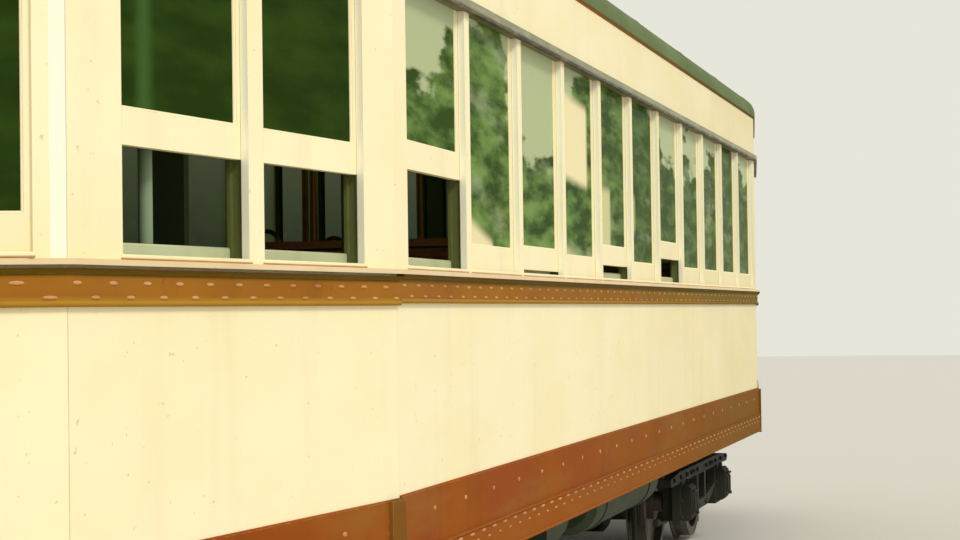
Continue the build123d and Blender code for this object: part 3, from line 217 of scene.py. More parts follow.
def new_group(name, inputs, outputs):
    """An empty node group: inputs with their first values, outputs with their number of parts."""
    group = bpy.data.node_groups.new(name, "ShaderNodeTree")
    kinds = {1: "NodeSocketFloat", 3: "NodeSocketVector", 4: "NodeSocketColor"}
    for label, value in inputs.items():
        socket = group.interface.new_socket(name=label, in_out="INPUT", socket_type=kinds[np.size(value)])
        socket.default_value = value
    for label, size in outputs.items():
        group.interface.new_socket(name=label, in_out="OUTPUT", socket_type=kinds[size])
    source = group.nodes.new("NodeGroupInput")
    given = {label: Value(group, source.outputs[label]) for label in inputs}
    return group, given, group.nodes.new("NodeGroupOutput")


def use_group(tree, group, **values):
    """A placed copy of a group, with its inputs set by name, as its outputs."""
    return feed(tree, add(tree, "ShaderNodeGroup", node_tree=group), **values).outputs


print("node helpers ready")

# %% [markdown]
# ## Floor and light
# A plain studio: one pale floor, even white light from all round and one broad, soft sun from the
# left and ahead, which casts thin shadows under ledge and drip rail; the paints there deepen them
# with painted shadow. The backdrop's colour is only what the camera, gloss and glass see of the
# world, so it never adds light to the car.

# %% Floor, world and sun
BACKDROP = (0.80, 0.79, 0.70, 1)
FLOOR_COLOUR = (0.60, 0.58, 0.52, 1)
FLOOR_HALF = 60.0
ROOM_LEVEL, ROOM_COLOUR = 0.80, (1.0, 0.985, 0.94, 1)
SUN_LEVEL, SUN_COLOUR = 1.66, (1.0, 0.97, 0.90)
SUN_SPREAD = np.radians(14)
SUN_WAY = (-0.42, -0.62, -0.72)


def make_floor():
    """A flat square at z = 0."""
    half = FLOOR_HALF
    mesh = bpy.data.meshes.new("floor_plane")
    corners = [(-half, -half, 0), (half, -half, 0), (half, half, 0), (-half, half, 0)]
    mesh.from_pydata(corners, [], [(0, 1, 2, 3)])
    plane = bpy.data.objects.new("floor_plane", mesh)
    bpy.context.scene.collection.objects.link(plane)
    material = bpy.data.materials.new("studio_floor")
    material.use_nodes = True
    tree = material.node_tree
    feed(tree, tree.nodes["Principled BSDF"], Base_Color=FLOOR_COLOUR, Roughness=0.9)
    mesh.materials.append(material)


make_floor()
world = bpy.data.worlds.new("studio")
bpy.context.scene.world = world
world.use_nodes = True
tree = world.node_tree
tree.nodes.clear()
rays = add(tree, "ShaderNodeLightPath").outputs
looking = Value(tree, rays["Is Camera Ray"]).math("MAXIMUM", rays["Is Glossy Ray"])
looking = looking.math("MAXIMUM", rays["Is Transmission Ray"])
lighting = feed(tree, add(tree, "ShaderNodeBackground"), Color=ROOM_COLOUR, Strength=ROOM_LEVEL)
backdrop = feed(tree, add(tree, "ShaderNodeBackground"), Color=BACKDROP)
mixed = add(tree, "ShaderNodeMixShader")
for source, target in zip((looking, lighting.outputs[0], backdrop.outputs[0]), mixed.inputs):
    join(tree, source, target)
feed(tree, add(tree, "ShaderNodeOutputWorld"), Surface=mixed.outputs[0])

sun_data = bpy.data.lights.new("sun", "SUN")
sun_data.energy = SUN_LEVEL
sun_data.angle = SUN_SPREAD
sun_data.color = SUN_COLOUR
sun = bpy.data.objects.new("sun", sun_data)
sun.rotation_euler = Vector(SUN_WAY).to_track_quat("-Z", "Y").to_euler()
bpy.context.scene.collection.objects.link(sun)
print("studio ready")

# %% [markdown]
# ## Sizes that the looks share
# The body's outline in plan is a straight side, a tapered platform side and a bowed end. Its
# heights and reaches are read from the frame's boxes where a node ends there, so that the trim
# follows the model. The few that no box gives are named here.

# %% Sizes
side_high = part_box("side_wall_left")[1]
sill_low, sill_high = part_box("sill_plates")
belt_low, belt_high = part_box("belt_rails")
trim_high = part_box("window_mouldings")[1]
wheel_low, wheel_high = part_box("wheelset_front_leading")
truck_low, truck_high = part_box("side_frames_front")
HALF_W, BEND_X, EAVE_Z = side_high.y, side_high.x, side_high.z
SLOPE = np.radians(7.6)
TAPER_L = 1.800
BOW_R = 1.700
CORNER = (BEND_X + TAPER_L * np.cos(SLOPE), HALF_W - TAPER_L * np.sin(SLOPE))
BOW_X = CORNER[0] - np.sqrt(BOW_R ** 2 - CORNER[1] ** 2)
NOSE_X = BOW_X + BOW_R
DOOR_AT, DOOR_W = 1.195, 0.830
SAG = 0.007
SILL_Z = (sill_low.z + SAG, sill_high.z)
SILL_EDGE_Z = 0.892
BELT_Z = (belt_low.z + SAG, belt_high.z)
LEDGE_Z = BELT_Z[1] + 0.015
STOOL_Z = LEDGE_Z + 0.013
DRIP_Z = (trim_high.z - 0.040, trim_high.z)
WINDOW_COUNT = 11
WINDOW_POST, END_PILLAR = 0.065, 0.125
WINDOW_PITCH = (2 * BEND_X - 2 * END_PILLAR + WINDOW_POST) / WINDOW_COUNT
WINDOW_W = WINDOW_PITCH - WINDOW_POST
FIRST_WINDOW_X = BEND_X - END_PILLAR - WINDOW_W / 2
RAISED = [0.319, 0, 0.017, 0, 0.066, 0, 0.132, 0, 0, 0, 0]
PLATFORM_RAISED = 0.274
SASH_H = DRIP_Z[0] + 0.065 - STOOL_Z
SASH_STILE, SASH_BOTTOM, SASH_TOP = 0.0203, 0.092, 0.030
TRUCK_X = (truck_low.x + truck_high.x) / 2
AXLE_Z = (wheel_low.z + wheel_high.z) / 2
HALF_BASE = (wheel_low.x + wheel_high.x) / 2 - TRUCK_X
FRAME_Y = truck_high.y - 0.028
print("pitch", round(WINDOW_PITCH, 4), "bend", round(BEND_X, 4), "nose", round(NOSE_X, 4))

# %% [markdown]
# ## Making a piece
# A grid of points needs only one array of quads, so every piece here comes down to points and
# faces as whole arrays. The normals are turned outwards at the end, because a swept or flipped
# surface can come out inside out.

# %% Mesh helpers
MATERIALS = {}
SHARP_ANGLE = np.radians(38)
NO_TRIANGLES = np.zeros((0, 3), int)


def grid_faces(rows, columns, close_rows=False, close_columns=False):
    """Quads over a rows x columns grid: each joins a point to the next along both parameters."""
    i, j = np.meshgrid(
        np.arange(rows if close_rows else rows - 1), np.arange(columns if close_columns else columns - 1),
        indexing="ij",
    )
    below, beside = (i + 1) % rows, (j + 1) % columns
    quads = [i * columns + j, below * columns + j, below * columns + beside, i * columns + beside]
    return np.stack(quads, axis=-1).reshape(-1, 4)


def fan(centre, ring):
    """Triangles from one point to each edge of a closed ring of points."""
    return np.stack([np.full(len(ring), centre), ring, np.roll(ring, -1)], axis=-1)


def merge(shapes):
    """Several (points, quads, triangles) shapes as one, each shape's faces shifted past the last."""
    shift = np.cumsum([0] + [len(shape[0]) for shape in shapes[:-1]])
    points = np.concatenate([shape[0] for shape in shapes])
    quads, triangles = (np.concatenate([s[kind] + o for s, o in zip(shapes, shift)]) for kind in (1, 2))
    return points, quads, triangles


def repeat(shape, origins, axes=None):
    """Copies of a shape: each is its points turned by its three axes and moved to its origin."""
    points, quads, triangles = shape
    origins = np.reshape(origins, (-1, 3))
    if axes is None:
        axes = np.eye(3)
    axes = np.broadcast_to(axes, (len(origins), 3, 3))
    placed = origins[:, None] + np.einsum("pk,nkc->npc", points, axes)
    shift = (np.arange(len(origins)) * len(points))[:, None, None]
    return placed.reshape(-1, 3), (quads + shift).reshape(-1, 4), (triangles + shift).reshape(-1, 3)


def piece(name, shape, slot, finish=None, body="car_body", smooth=True):
    """A mesh object from a shape or a list of them, outward-facing, riding on a body."""
    points, quads, triangles = merge(shape) if isinstance(shape, list) else shape
    corners = np.concatenate([quads.ravel(), triangles.ravel()]).astype(np.int32)
    sizes = np.concatenate([np.full(len(quads), 4), np.full(len(triangles), 3)])
    starts = (np.cumsum(sizes) - sizes).astype(np.int32)
    mesh = bpy.data.meshes.new(name)
    mesh.vertices.add(len(points))
    mesh.vertices.foreach_set("co", points.astype(np.float32).ravel())
    mesh.loops.add(len(corners))
    mesh.loops.foreach_set("vertex_index", corners)
    mesh.polygons.add(len(starts))
    mesh.polygons.foreach_set("loop_start", starts)
    mesh.update(calc_edges=True)
    work = bmesh.new()
    work.from_mesh(mesh)
    bmesh.ops.remove_doubles(work, verts=work.verts, dist=1e-6)
    bmesh.ops.recalc_face_normals(work, faces=work.faces)
    work.to_mesh(mesh)
    work.free()
    mesh.polygons.foreach_set("use_smooth", np.full(len(mesh.polygons), smooth))
    if smooth:
        mesh.set_sharp_from_angle(angle=SHARP_ANGLE)
    made = bpy.data.objects.new(name, mesh)
    bpy.context.scene.collection.objects.link(made)
    mesh.materials.append(MATERIALS[finish or slot])
    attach(made, body)
    print(name, len(mesh.polygons), "faces")


def sweep(sections, closed_path=False):
    """A skin over (n, k, 3) sections: a closed profile of k points carried along n places."""
    rows, columns = sections.shape[:2]
    quads = grid_faces(rows, columns, close_rows=closed_path, close_columns=True)
    points = sections.reshape(-1, 3)
    if closed_path:
        return points, quads, NO_TRIANGLES
    ends = np.stack([sections[0].mean(0), sections[-1].mean(0)])
    start, finish = rows * columns, rows * columns + 1
    caps = np.concatenate([
        fan(start, np.arange(columns)[::-1]), fan(finish, np.arange(columns) + (rows - 1) * columns)
    ])
    return np.concatenate([points, ends]), quads, caps


def tube(path_points, radius, sides=8):
    """A round tube: at each path point, a circle of the radius in the plane across the path."""
    path_points = np.asarray(path_points, float)
    along = np.gradient(path_points, axis=0)
    along = along / np.linalg.norm(along, axis=1, keepdims=True)
    guide = np.where(np.abs(along[:, 2:]) > 0.9, np.array([[1.0, 0, 0]]), np.array([[0, 0, 1.0]]))
    across = np.cross(along, guide)
    across = across / np.linalg.norm(across, axis=1, keepdims=True)
    lift = np.cross(across, along)
    turn = np.linspace(0, 2 * np.pi, sides, endpoint=False)
    ring = np.cos(turn)[None, :, None] * across[:, None] + np.sin(turn)[None, :, None] * lift[:, None]
    return sweep(path_points[:, None] + radius * ring)


def spun(profile, steps=24):
    """A profile of (radius, height) points turned about Z: x = r cos t, y = r sin t, z = h."""
    profile = np.asarray(profile, float)
    turn = np.linspace(0, 2 * np.pi, steps, endpoint=False)
    radius, height = profile[:, :1], profile[:, 1:]
    points = np.stack([radius * np.cos(turn), radius * np.sin(turn), height + 0 * turn], axis=-1)
    return points.reshape(-1, 3), grid_faces(len(profile), steps, close_columns=True), NO_TRIANGLES


def slab(x, y, z, bevel=0.002):
    """A box between (low, high) pairs with its edges cut back, as stacked eight-sided rings."""
    signs = np.array([(1, 1), (-1, 1), (-1, -1), (1, -1)])
    cut_first = np.array([((0, 1), (1, 0)), ((1, 0), (0, 1))] * 2)
    half = np.array([(x[1] - x[0]) / 2, (y[1] - y[0]) / 2])
    middle = np.array([(x[0] + x[1]) / 2, (y[0] + y[1]) / 2])
    rings = []
    for height, inset in ((z[0], bevel), (z[0] + bevel, 0), (z[1] - bevel, 0), (z[1], bevel)):
        flat = signs[:, None] * (half - inset) - signs[:, None] * cut_first * (bevel - inset)
        rings.append(np.column_stack([middle + flat.reshape(-1, 2), np.full(8, height)]))
    return sweep(np.array(rings))


def moved(shape, x=0.0, y=0.0, z=0.0):
    """A shape moved by x, y and z."""
    return shape[0] + np.array([x, y, z]), shape[1], shape[2]


print("mesh helpers ready")

# %% [markdown]
# ## Shared effects
# Old paint is never one colour: it fades in soft patches, runs in dirty streaks below ledges and
# takes a fine orange-peel. That is one node group, used by every painted finish with its own
# values. A second group rounds the CAD's sharp edges in the shading and gives a mask of the
# edges, where paint rubs through. Both give colours, masks and normals only: the shader itself
# stays in each material.

# %% Weather and edge groups


def make_weather_group():
    """Faded patches, vertical dirt streaks, dust towards the ground and a fine grain."""
    group, given, result = new_group("weathered_coat", {
        "Colour": (0.5, 0.5, 0.5, 1), "Faded": (0.6, 0.6, 0.6, 1), "Dirt": (0.1, 0.08, 0.05, 1),
        "Patches": 0.4, "Streaks": 0.3, "Specks": 0.2, "Dust": 0.2, "Shine": 0.35, "Grain": 60.0,
        "Earth": (0.34, 0.29, 0.22, 1),
    }, {"Colour": 4, "Roughness": 1, "Height": 1})
    patches = noise(group, (0.9, 0.9, 1.6), 1.7, 5.0)
    faded = remap(patches, 0.38, 0.68) * given["Patches"]
    runs = remap(noise(group, (5, 5, 0.5), 1.0, 5.0), 0.50, 0.85) * given["Streaks"]
    spots = remap(noise(group, EVEN, 38.0, 2.0), 0.70, 0.76) * given["Specks"]
    low = remap(position(group)[2], 0.1, 1.0, 1.0, 0.0)
    dust = low * remap(noise(group, EVEN, 6.0, 6.0, 0.65), 0.35, 0.70) * given["Dust"]
    colour = given["Colour"]
    for amount, over in ((faded, "Faded"), (runs, "Dirt"), (spots, "Dirt"), (dust, "Earth")):
        colour = blend(group, amount, colour, given[over])
    peel = noise(group, EVEN, given["Grain"], 4.0, 0.6)
    rough = peel.math("MULTIPLY_ADD", 0.22, given["Shine"])
    rough = rough.math("ADD", dust * 0.35, clamp=True).math("ADD", faded * 0.15, clamp=True)
    feed(group, result, Colour=colour, Roughness=rough, Height=peel * 0.4 + patches * 0.6)
    return group


def make_edge_group():
    """The bevelled normal, and where it turns away from the flat one: the worn edges."""
    group, given, result = new_group("rounded_edges", {
        "Radius": 0.004, "Wear": 0.5,
    }, {"Wear": 1, "Normal": 3})
    bevel = feed(group, add(group, "ShaderNodeBevel", samples=4), Radius=given["Radius"]).outputs[0]
    flat = add(group, "ShaderNodeNewGeometry").outputs["Normal"]
    agreeing = Value(group, vector_math(group, "DOT_PRODUCT", bevel, flat)["Value"])
    turned_away = agreeing.math("MULTIPLY_ADD", -1.0, 1.0, clamp=True)
    broken = noise(group, EVEN, 26.0, 5.0, 0.7)
    mask = remap(turned_away, 0.03, 0.25) * remap(broken, 0.40, 0.62)
    feed(group, result, Wear=mask.math("MULTIPLY", given["Wear"], clamp=True), Normal=bevel)
    return group


WEATHER = make_weather_group()
EDGES = make_edge_group()
DRY_EARTH = (0.30, 0.25, 0.18, 1)


def start_material(name):
    """A new material with its tree and its Principled shader."""
    material = MATERIALS[name] = bpy.data.materials.new(name)
    material.use_nodes = True
    return material.node_tree, material.node_tree.nodes["Principled BSDF"]


def dress(tree, shader, colour, roughness, height, relief, **values):
    """Colour, roughness, relief and plain values on a shader; Edge is the normal to be bumped."""
    bump = feed(tree, add(tree, "ShaderNodeBump"), Height=height, Distance=relief)
    if "Edge" in values:
        feed(tree, bump, Normal=values.pop("Edge"))
    feed(tree, shader, Base_Color=colour, Roughness=roughness, Normal=bump.outputs[0], **values)


def coat(name, tones, weather, edge, metal=0.0, earth=DRY_EARTH, change=()):
    """A painted or metal finish: weathered colour, worn edges and fine relief on one shader.

    The tones are paint, faded paint, dirt and bare edge. The weather is how much there is of
    patches, streaks, specks and dust, then the roughness and the fineness of the grain. The edge
    is the radius of the rounding, its wear, the depth of the relief and the level of the gloss.
    """
    tree, shader = start_material(name)
    paint, faded, dirt, bare = (tone(*shade) for shade in tones)
    amounts = dict(zip(("Patches", "Streaks", "Specks", "Dust", "Shine", "Grain"), weather))
    coated = use_group(tree, WEATHER, Colour=paint, Faded=faded, Dirt=dirt, Earth=earth, **amounts)
    radius, wear, relief, level = edge
    worn = use_group(tree, EDGES, Radius=radius, Wear=wear)
    colour = coated["Colour"]
    for alter in change:
        colour = alter(tree, colour)
    colour = blend(tree, worn["Wear"], colour, bare)
    dress(tree, shader, colour, coated["Roughness"], coated["Height"], relief, Edge=worn["Normal"],
          Metallic=metal, Specular_IOR_Level=level)


print("groups made")

# %% [markdown]
# ## Paint on the body
# The walls are one steel shell in the frame, cream outside and dark green inside. A mask of how
# deep a point lies behind the wall's face splits the two: the depth is the least of the distances
# to the straight side, the tapered side and the bow. The window boards, which face up, are a
# pale grey-green. The same mask turns the inner faces of the sashes dark.

# %% Cream paint with a dark lining


def make_depth_group():
    """How far a point is behind the body's face: the least distance to side, taper and bow."""
    group, given, result = new_group("depth_in_wall", {"Start": 0.03}, {"Inside": 1, "Up": 1})
    x, y, _ = position(group)
    along, across = x.math("ABSOLUTE"), y.math("ABSOLUTE")
    cosine, sine = float(np.cos(SLOPE)), float(np.sin(SLOPE))
    side = HALF_W - across
    taper = HALF_W * cosine - (across * cosine + (along - BEND_X) * sine)
    ahead = (along - float(BOW_X)).math("MAXIMUM", 0.0)
    bow = BOW_R - (ahead * ahead + across * across).math("SQRT")
    depth = side.math("MINIMUM", taper).math("MINIMUM", bow)
    feed(group, result, Inside=depth > given["Start"], Up=facing(group)[2] > 0.7)
    return group


DEPTH = make_depth_group()
LINING = tone(98, 104, 54)
BOARD_GREEN = tone(178, 190, 150)


def line_inside(start):
    """Returns a change that paints everything deeper than the start in the dark lining colour."""
    def change(tree, before):
        mask = use_group(tree, DEPTH, Start=start)
        return blend(tree, mask["Inside"], before, blend(tree, mask["Up"], LINING, BOARD_GREEN))
    return change


def duller_rearward(shade, most):
    """Returns a change that dulls the paint little by little rearwards, where brake dust settles."""
    def change(tree, before):
        cloud = noise(tree, (0.6, 0.6, 1.2), 1.3, 4.0)
        amount = remap(position(tree)[0], 3.6, -4.6, 0.0, most) * remap(cloud, 0.2, 0.6, 0.5, 1.0)
        return blend(tree, amount, before, shade)
    return change


def look_down(limit, shade):
    """Returns a change that paints the faces whose outward Z is under a limit."""
    def change(tree, before):
        return blend(tree, facing(tree)[2] < limit, before, shade)
    return change


def painted_light_reveals(tree, before):
    """Painted light: the faces beside each saloon window look along the car and are painted a paler cream."""
    _, y, z = position(tree)
    looks_along = facing(tree)[0].math("ABSOLUTE") > 0.8
    mask = looks_along * (y.math("ABSOLUTE") > 1.0) * (z > LEDGE_Z)
    return blend(tree, mask, before, tone(250, 248, 224))


CREAM = [(252, 241, 198), (247, 231, 178), (196, 168, 108)]
WORN_CREAM = CREAM + [(206, 176, 118)]
# Wall faces that look down, the soffits over the windows, are painted a dull olive: painted shade.
SHADED_LINTEL = look_down(-0.6, tone(112, 98, 50))
DULL_CREAM = duller_rearward(tone(216, 200, 146), 0.62)
coat("wall_cream", CREAM + [(216, 190, 134)], (0.5, 0.16, 0.5, 0.08, 0.34, 34), (0.003, 0.3, 0.0010, 0.28),
     change=[DULL_CREAM, painted_light_reveals, SHADED_LINTEL, line_inside(0.0235)])
coat("sash_cream", WORN_CREAM, (0.4, 0.18, 0.3, 0.0, 0.34, 50), (0.002, 0.4, 0.0006, 0.3),
     change=[DULL_CREAM, line_inside(0.048)])
coat("cream_paint", WORN_CREAM, (0.4, 0.2, 0.3, 0.1, 0.34, 50), (0.003, 0.4, 0.0006, 0.3))
print("cream paints made")

# %% [markdown]
# ## The red-brown bands
# The belt rail is a worn orange-brown with a yellower lower edge, and the sill plate a deeper
# red-brown that turns more orange on its thick lower strip. Both are paint over riveted steel,
# so they share the weather and the worn edges, and a band of height shifts the hue. A darker band
# along the belt's top is painted shadow from the ledge above, and so is the near-black band along
# the drip rail's foot.

# %% Belt, sill, ledge and roof paint
STRAP = (BEND_X + 0.004, BEND_X + 0.100)


def shift_band(low, high, shade, soft=0.006):
    """Returns a change that mixes in a shade between two heights, with soft borders."""
    def change(tree, before):
        wobble = noise(tree, (1.5, 1.5, 8), 4.0, 5.0, 0.6)
        amount = band(position(tree)[2], low, high, soft) * remap(wobble, 0.2, 0.6, 0.7, 1.0)
        return blend(tree, amount, before, shade)
    return change


def dark_strap(tree, before):
    """The cover straps at the bends are a duller brown: a soft band in the distance along the car."""
    along = position(tree)[0].math("ABSOLUTE")
    return blend(tree, band(along, *STRAP, 0.006), before, tone(122, 80, 24))


def washed_thin(tree, before):
    """Rain has washed the enamel thin in places: slow noise lets a yellower brown come through."""
    cloud = noise(tree, (0.5, 0.5, 2.5), 1.6, 5.0, 0.6)
    return blend(tree, remap(cloud, 0.45, 0.75, 0.0, 0.6), before, tone(150, 104, 40))


# The darker olive band along the belt's top is painted shadow from the ledge above it.
coat("rail_paint", [(150, 94, 20), (164, 108, 34), (96, 54, 12), (206, 160, 92)],
     (0.8, 0.4, 0.4, 0.0, 0.6, 40), (0.003, 0.6, 0.0012, 0.10),
     change=[washed_thin, shift_band(BELT_Z[1] - 0.026, BELT_Z[1] + 0.030, tone(110, 84, 18)),
             shift_band(BELT_Z[0] - 0.03, BELT_Z[0] + 0.014, tone(170, 126, 40)),
             duller_rearward(tone(100, 94, 28), 0.9)])
coat("sill_paint", [(144, 68, 6), (152, 82, 14), (92, 44, 10), (214, 158, 104)],
     (0.9, 0.4, 0.5, 0.15, 0.6, 40), (0.004, 0.9, 0.0012, 0.10), earth=tone(120, 86, 40),
     change=[washed_thin, shift_band(SILL_Z[0] - 0.03, SILL_EDGE_Z, tone(150, 82, 12)),
             duller_rearward(tone(112, 82, 18), 0.80), dark_strap])
# Rivet heads are a paler brown than their plates: partly worn paint, partly a painted highlight where the
# light catches the domes.
coat("belt_heads", [(184, 124, 66), (206, 156, 98), (130, 80, 30), (240, 214, 176)],
     (1.0, 0.5, 0.6, 0.0, 0.45, 60), (0.002, 0.6, 0.0006, 0.3))
coat("sill_heads", [(186, 118, 66), (208, 150, 102), (120, 62, 20), (236, 204, 170)],
     (1.0, 0.5, 0.6, 0.0, 0.45, 60), (0.002, 0.6, 0.0006, 0.3))
# The slate grey band is the drip rail's own paint; the near-black band along its foot is painted shadow under
# the drip.
coat("ledge_paint", [(232, 208, 166), (220, 196, 146), (140, 110, 70), (240, 224, 190)],
     (0.4, 0.2, 0.3, 0.0, 0.40, 60), (0.003, 0.4, 0.0006, 0.3),
     change=[shift_band(DRIP_Z[0] + 0.012, DRIP_Z[1] + 0.02, tone(136, 140, 112)),
             shift_band(DRIP_Z[0] - 0.03, DRIP_Z[0] + 0.014, tone(46, 48, 28))])
# The orange-brown band along each window nosing's foot is a painted shadow line under the nosing.
coat("nosing_paint", WORN_CREAM, (0.4, 0.2, 0.3, 0.0, 0.34, 50), (0.002, 0.4, 0.0006, 0.3),
     change=[shift_band(LEDGE_Z - 0.02, LEDGE_Z + 0.006, tone(188, 140, 66), soft=0.002)])
coat("roof_paint", [(96, 112, 70), (112, 126, 86), (54, 62, 42), (140, 140, 110)],
     (0.9, 0.3, 0.7, 0.0, 0.7, 240), (0.004, 0.3, 0.004, 0.15),
     change=[look_down(-0.05, tone(206, 194, 150))])
print("band and roof paints made")

# %% [markdown]
# ## Dark iron, brass, wood and glass
# Trucks and underframe are black paint under a thick coat of brake dust, so their weather has
# much dust and little shine. Wood is noise drawn out some twenty times along each board.
# The window glass is old plate: green, a little dirty and darker than the air behind it. Its
# colour holds painted reflections: a pale painted sky in the upper part and a mottled green of
# painted leaves below in the saloon windows, with soft patches painted for things mirrored in the
# panes and things seen through them, and a faint painted glow. What the panes mirror isn't part
# of the car, so the mottling is a pattern in the glass itself.

# %% Dark finishes and fittings
SOOT = tone(62, 60, 44)
coat("truck_black", [(30, 33, 27), (48, 50, 40), (15, 16, 12), (96, 88, 66)],
     (0.8, 0.3, 0.6, 0.7, 0.55, 90), (0.006, 0.6, 0.003, 0.3), earth=SOOT)
coat("frame_black", [(30, 32, 26), (48, 48, 38), (16, 15, 12), (98, 88, 66)],
     (0.7, 0.3, 0.4, 0.5, 0.45, 80), (0.004, 0.5, 0.0015, 0.35), earth=SOOT)
coat("grey_gear", [(58, 68, 44), (74, 84, 60), (34, 36, 24), (128, 124, 96)],
     (0.8, 0.5, 0.5, 0.5, 0.5, 70), (0.006, 0.5, 0.002, 0.3), earth=SOOT)
coat("interior_green", [(108, 122, 76), (122, 134, 86), (44, 44, 26), (140, 128, 88)],
     (0.5, 0.3, 0.2, 0.0, 0.4, 60), (0.003, 0.5, 0.0006, 0.3))
coat("wheel_steel", [(104, 98, 88), (84, 74, 60), (46, 36, 26), (176, 170, 160)],
     (0.8, 0.2, 0.5, 0.6, 0.35, 120), (0.004, 0.8, 0.001, 0.5), metal=0.75, earth=SOOT)
coat("bare_steel", [(128, 122, 112), (104, 92, 78), (62, 44, 32), (190, 184, 172)],
     (0.7, 0.4, 0.5, 0.1, 0.32, 140), (0.003, 0.7, 0.0008, 0.5), metal=0.8)
coat("brass", [(176, 134, 66), (140, 104, 52), (80, 58, 30), (226, 192, 120)],
     (0.7, 0.2, 0.3, 0.0, 0.22, 160), (0.002, 0.8, 0.0004, 0.5), metal=1.0)
coat("strap_leather", [(96, 58, 30), (122, 80, 44), (48, 28, 14), (150, 108, 66)],
     (0.8, 0.3, 0.4, 0.0, 0.42, 300), (0.002, 0.7, 0.0006, 0.4))
coat("sill_board", [(186, 190, 146), (200, 204, 164), (110, 116, 74), (214, 208, 160)],
     (0.7, 0.3, 0.4, 0.0, 0.4, 80), (0.002, 0.5, 0.0006, 0.3))
coat("post_green", [(118, 138, 104), (134, 152, 122), (66, 78, 50), (160, 168, 132)],
     (0.6, 0.3, 0.3, 0.0, 0.36, 80), (0.002, 0.5, 0.0006, 0.3))
print("dark finishes made")

# %% Wood
GAP_SHADE = (0.015, 0.012, 0.008, 1)


def make_wood_group():
    """Boards along one axis: long streaks of grain, a darker gap between boards, a tint for each."""
    group, given, result = new_group("board_grain", {
        "Light": (0.4, 0.3, 0.2, 1), "Dark": (0.2, 0.1, 0.05, 1), "Board": 0.11, "Gap": 0.05, "Shine": 0.5,
        "Across": (0, 1, 0), "Stretch": (1.2, 26, 26),
    }, {"Colour": 4, "Roughness": 1, "Height": 1})
    here = add(group, "ShaderNodeTexCoord").outputs["Object"]
    drawn = vector_math(group, "MULTIPLY", here, given["Stretch"])[0]
    grain = noise(group, drawn, 2.2, 6.0, 0.62)
    fine = noise(group, drawn, 9.0, 3.0)
    along = Value(group, vector_math(group, "DOT_PRODUCT", here, given["Across"])["Value"])
    count = along.math("DIVIDE", given["Board"])
    number = count.math("FLOOR")
    within = count - number
    gap = within.math("MINIMUM", 1.0 - within) < given["Gap"]
    tint = feed(group, add(group, "ShaderNodeTexWhiteNoise", noise_dimensions="1D"), W=number)
    shade = Value(group, tint.outputs["Value"]) * 0.35 + grain * 0.75
    colour = blend(group, remap(shade, 0.25, 0.85), given["Light"], given["Dark"])
    rough = fine.math("MULTIPLY_ADD", 0.25, given["Shine"])
    colour = blend(group, gap, colour, GAP_SHADE)
    feed(group, result, Colour=colour, Roughness=rough, Height=grain + fine - gap * 3.0)
    return group


WOOD = make_wood_group()


def boards(name, light, dark, relief=0.0008, clear=0.0, **values):
    """A wooden finish from the board group, with rounded edges; the other values are the group's."""
    tree, shader = start_material(name)
    wood = use_group(tree, WOOD, Light=light, Dark=dark, **values)
    worn = use_group(tree, EDGES, Radius=0.003, Wear=0.5)
    colour = blend(tree, worn["Wear"], wood["Colour"], light)
    dress(tree, shader, colour, wood["Roughness"], wood["Height"], relief, Edge=worn["Normal"],
          Coat_Weight=clear)


boards("floor_wood", tone(132, 108, 76), tone(82, 62, 40), Board=0.09, Gap=0.05, Shine=0.6)
boards("bench_wood", tone(176, 120, 62), tone(120, 74, 34), relief=0.002, clear=0.4, Board=0.048, Gap=0.07,
       Shine=0.28, Across=(1, 0, 1), Stretch=(26, 1.2, 26))
boards("deck_wood", tone(146, 140, 120), tone(92, 86, 70), relief=0.0015, Board=0.14, Gap=0.0, Shine=0.75)
print("woods made")

# %% Glass
# The painted reflections in the glass: points of the line above which the saloon's panes show painted sky,
# and patches painted for things mirrored in the panes and seen through them.
PATTERN_X, PATTERN_Z = (-4.6, 4.6), 2.0
PAINTED_SKY_FROM = [(-4.6, 2.70), (-3.8, 2.70), (-3.06, 2.70), (-2.3, 2.62), (-1.53, 2.52), (-0.77, 2.60),
             (0.0, 2.86), (0.77, 2.88), (1.5, 2.66), (2.3, 2.33), (2.75, 2.45), (3.06, 2.70),
             (3.83, 2.46), (4.6, 2.52)]
SALOON_PAINTED_REFLECTIONS = [
    ((1.30, 1.80), (2.235, 2.60), tone(228, 216, 172), 0.06),
    ((0.78, 1.16), (1.80, 2.24), tone(196, 194, 144), 0.0),
    ((0.14, 0.40), (2.06, 2.24), tone(164, 166, 112), 0.0),
    ((3.00, 3.46), (1.72, 1.975), tone(222, 212, 166), 0.24),
    ((1.50, 1.86), (1.72, 1.93), tone(186, 178, 132), 0.25),
]
CAB_PAINTED_PATCHES = [
    ((5.670, 5.730), (2.05, 3.00), tone(58, 84, 40), 0.0),
    ((5.62, 5.78), (2.66, 2.90), tone(104, 110, 78), 0.0),
    ((4.98, 5.10), (2.66, 2.90), tone(96, 102, 72), 0.0),
]


def painted_sky_from(x):
    """The height from which the saloon's panes carry painted sky: a curve through (x, z) points."""
    curve = add(x.tree, "ShaderNodeFloatCurve")
    line = curve.mapping.curves[0]
    low, high = PATTERN_X
    shares = [((at - low) / (high - low), z - PATTERN_Z) for at, z in PAINTED_SKY_FROM]
    line.points[0].location, line.points[-1].location = shares[0], shares[-1]
    for share in shares[1:-1]:
        line.points.new(*share)
    curve.mapping.update()
    feed(x.tree, curve, Value=remap(x, low, high, kind="LINEAR"))
    return Value(x.tree, curve.outputs[0]) + PATTERN_Z


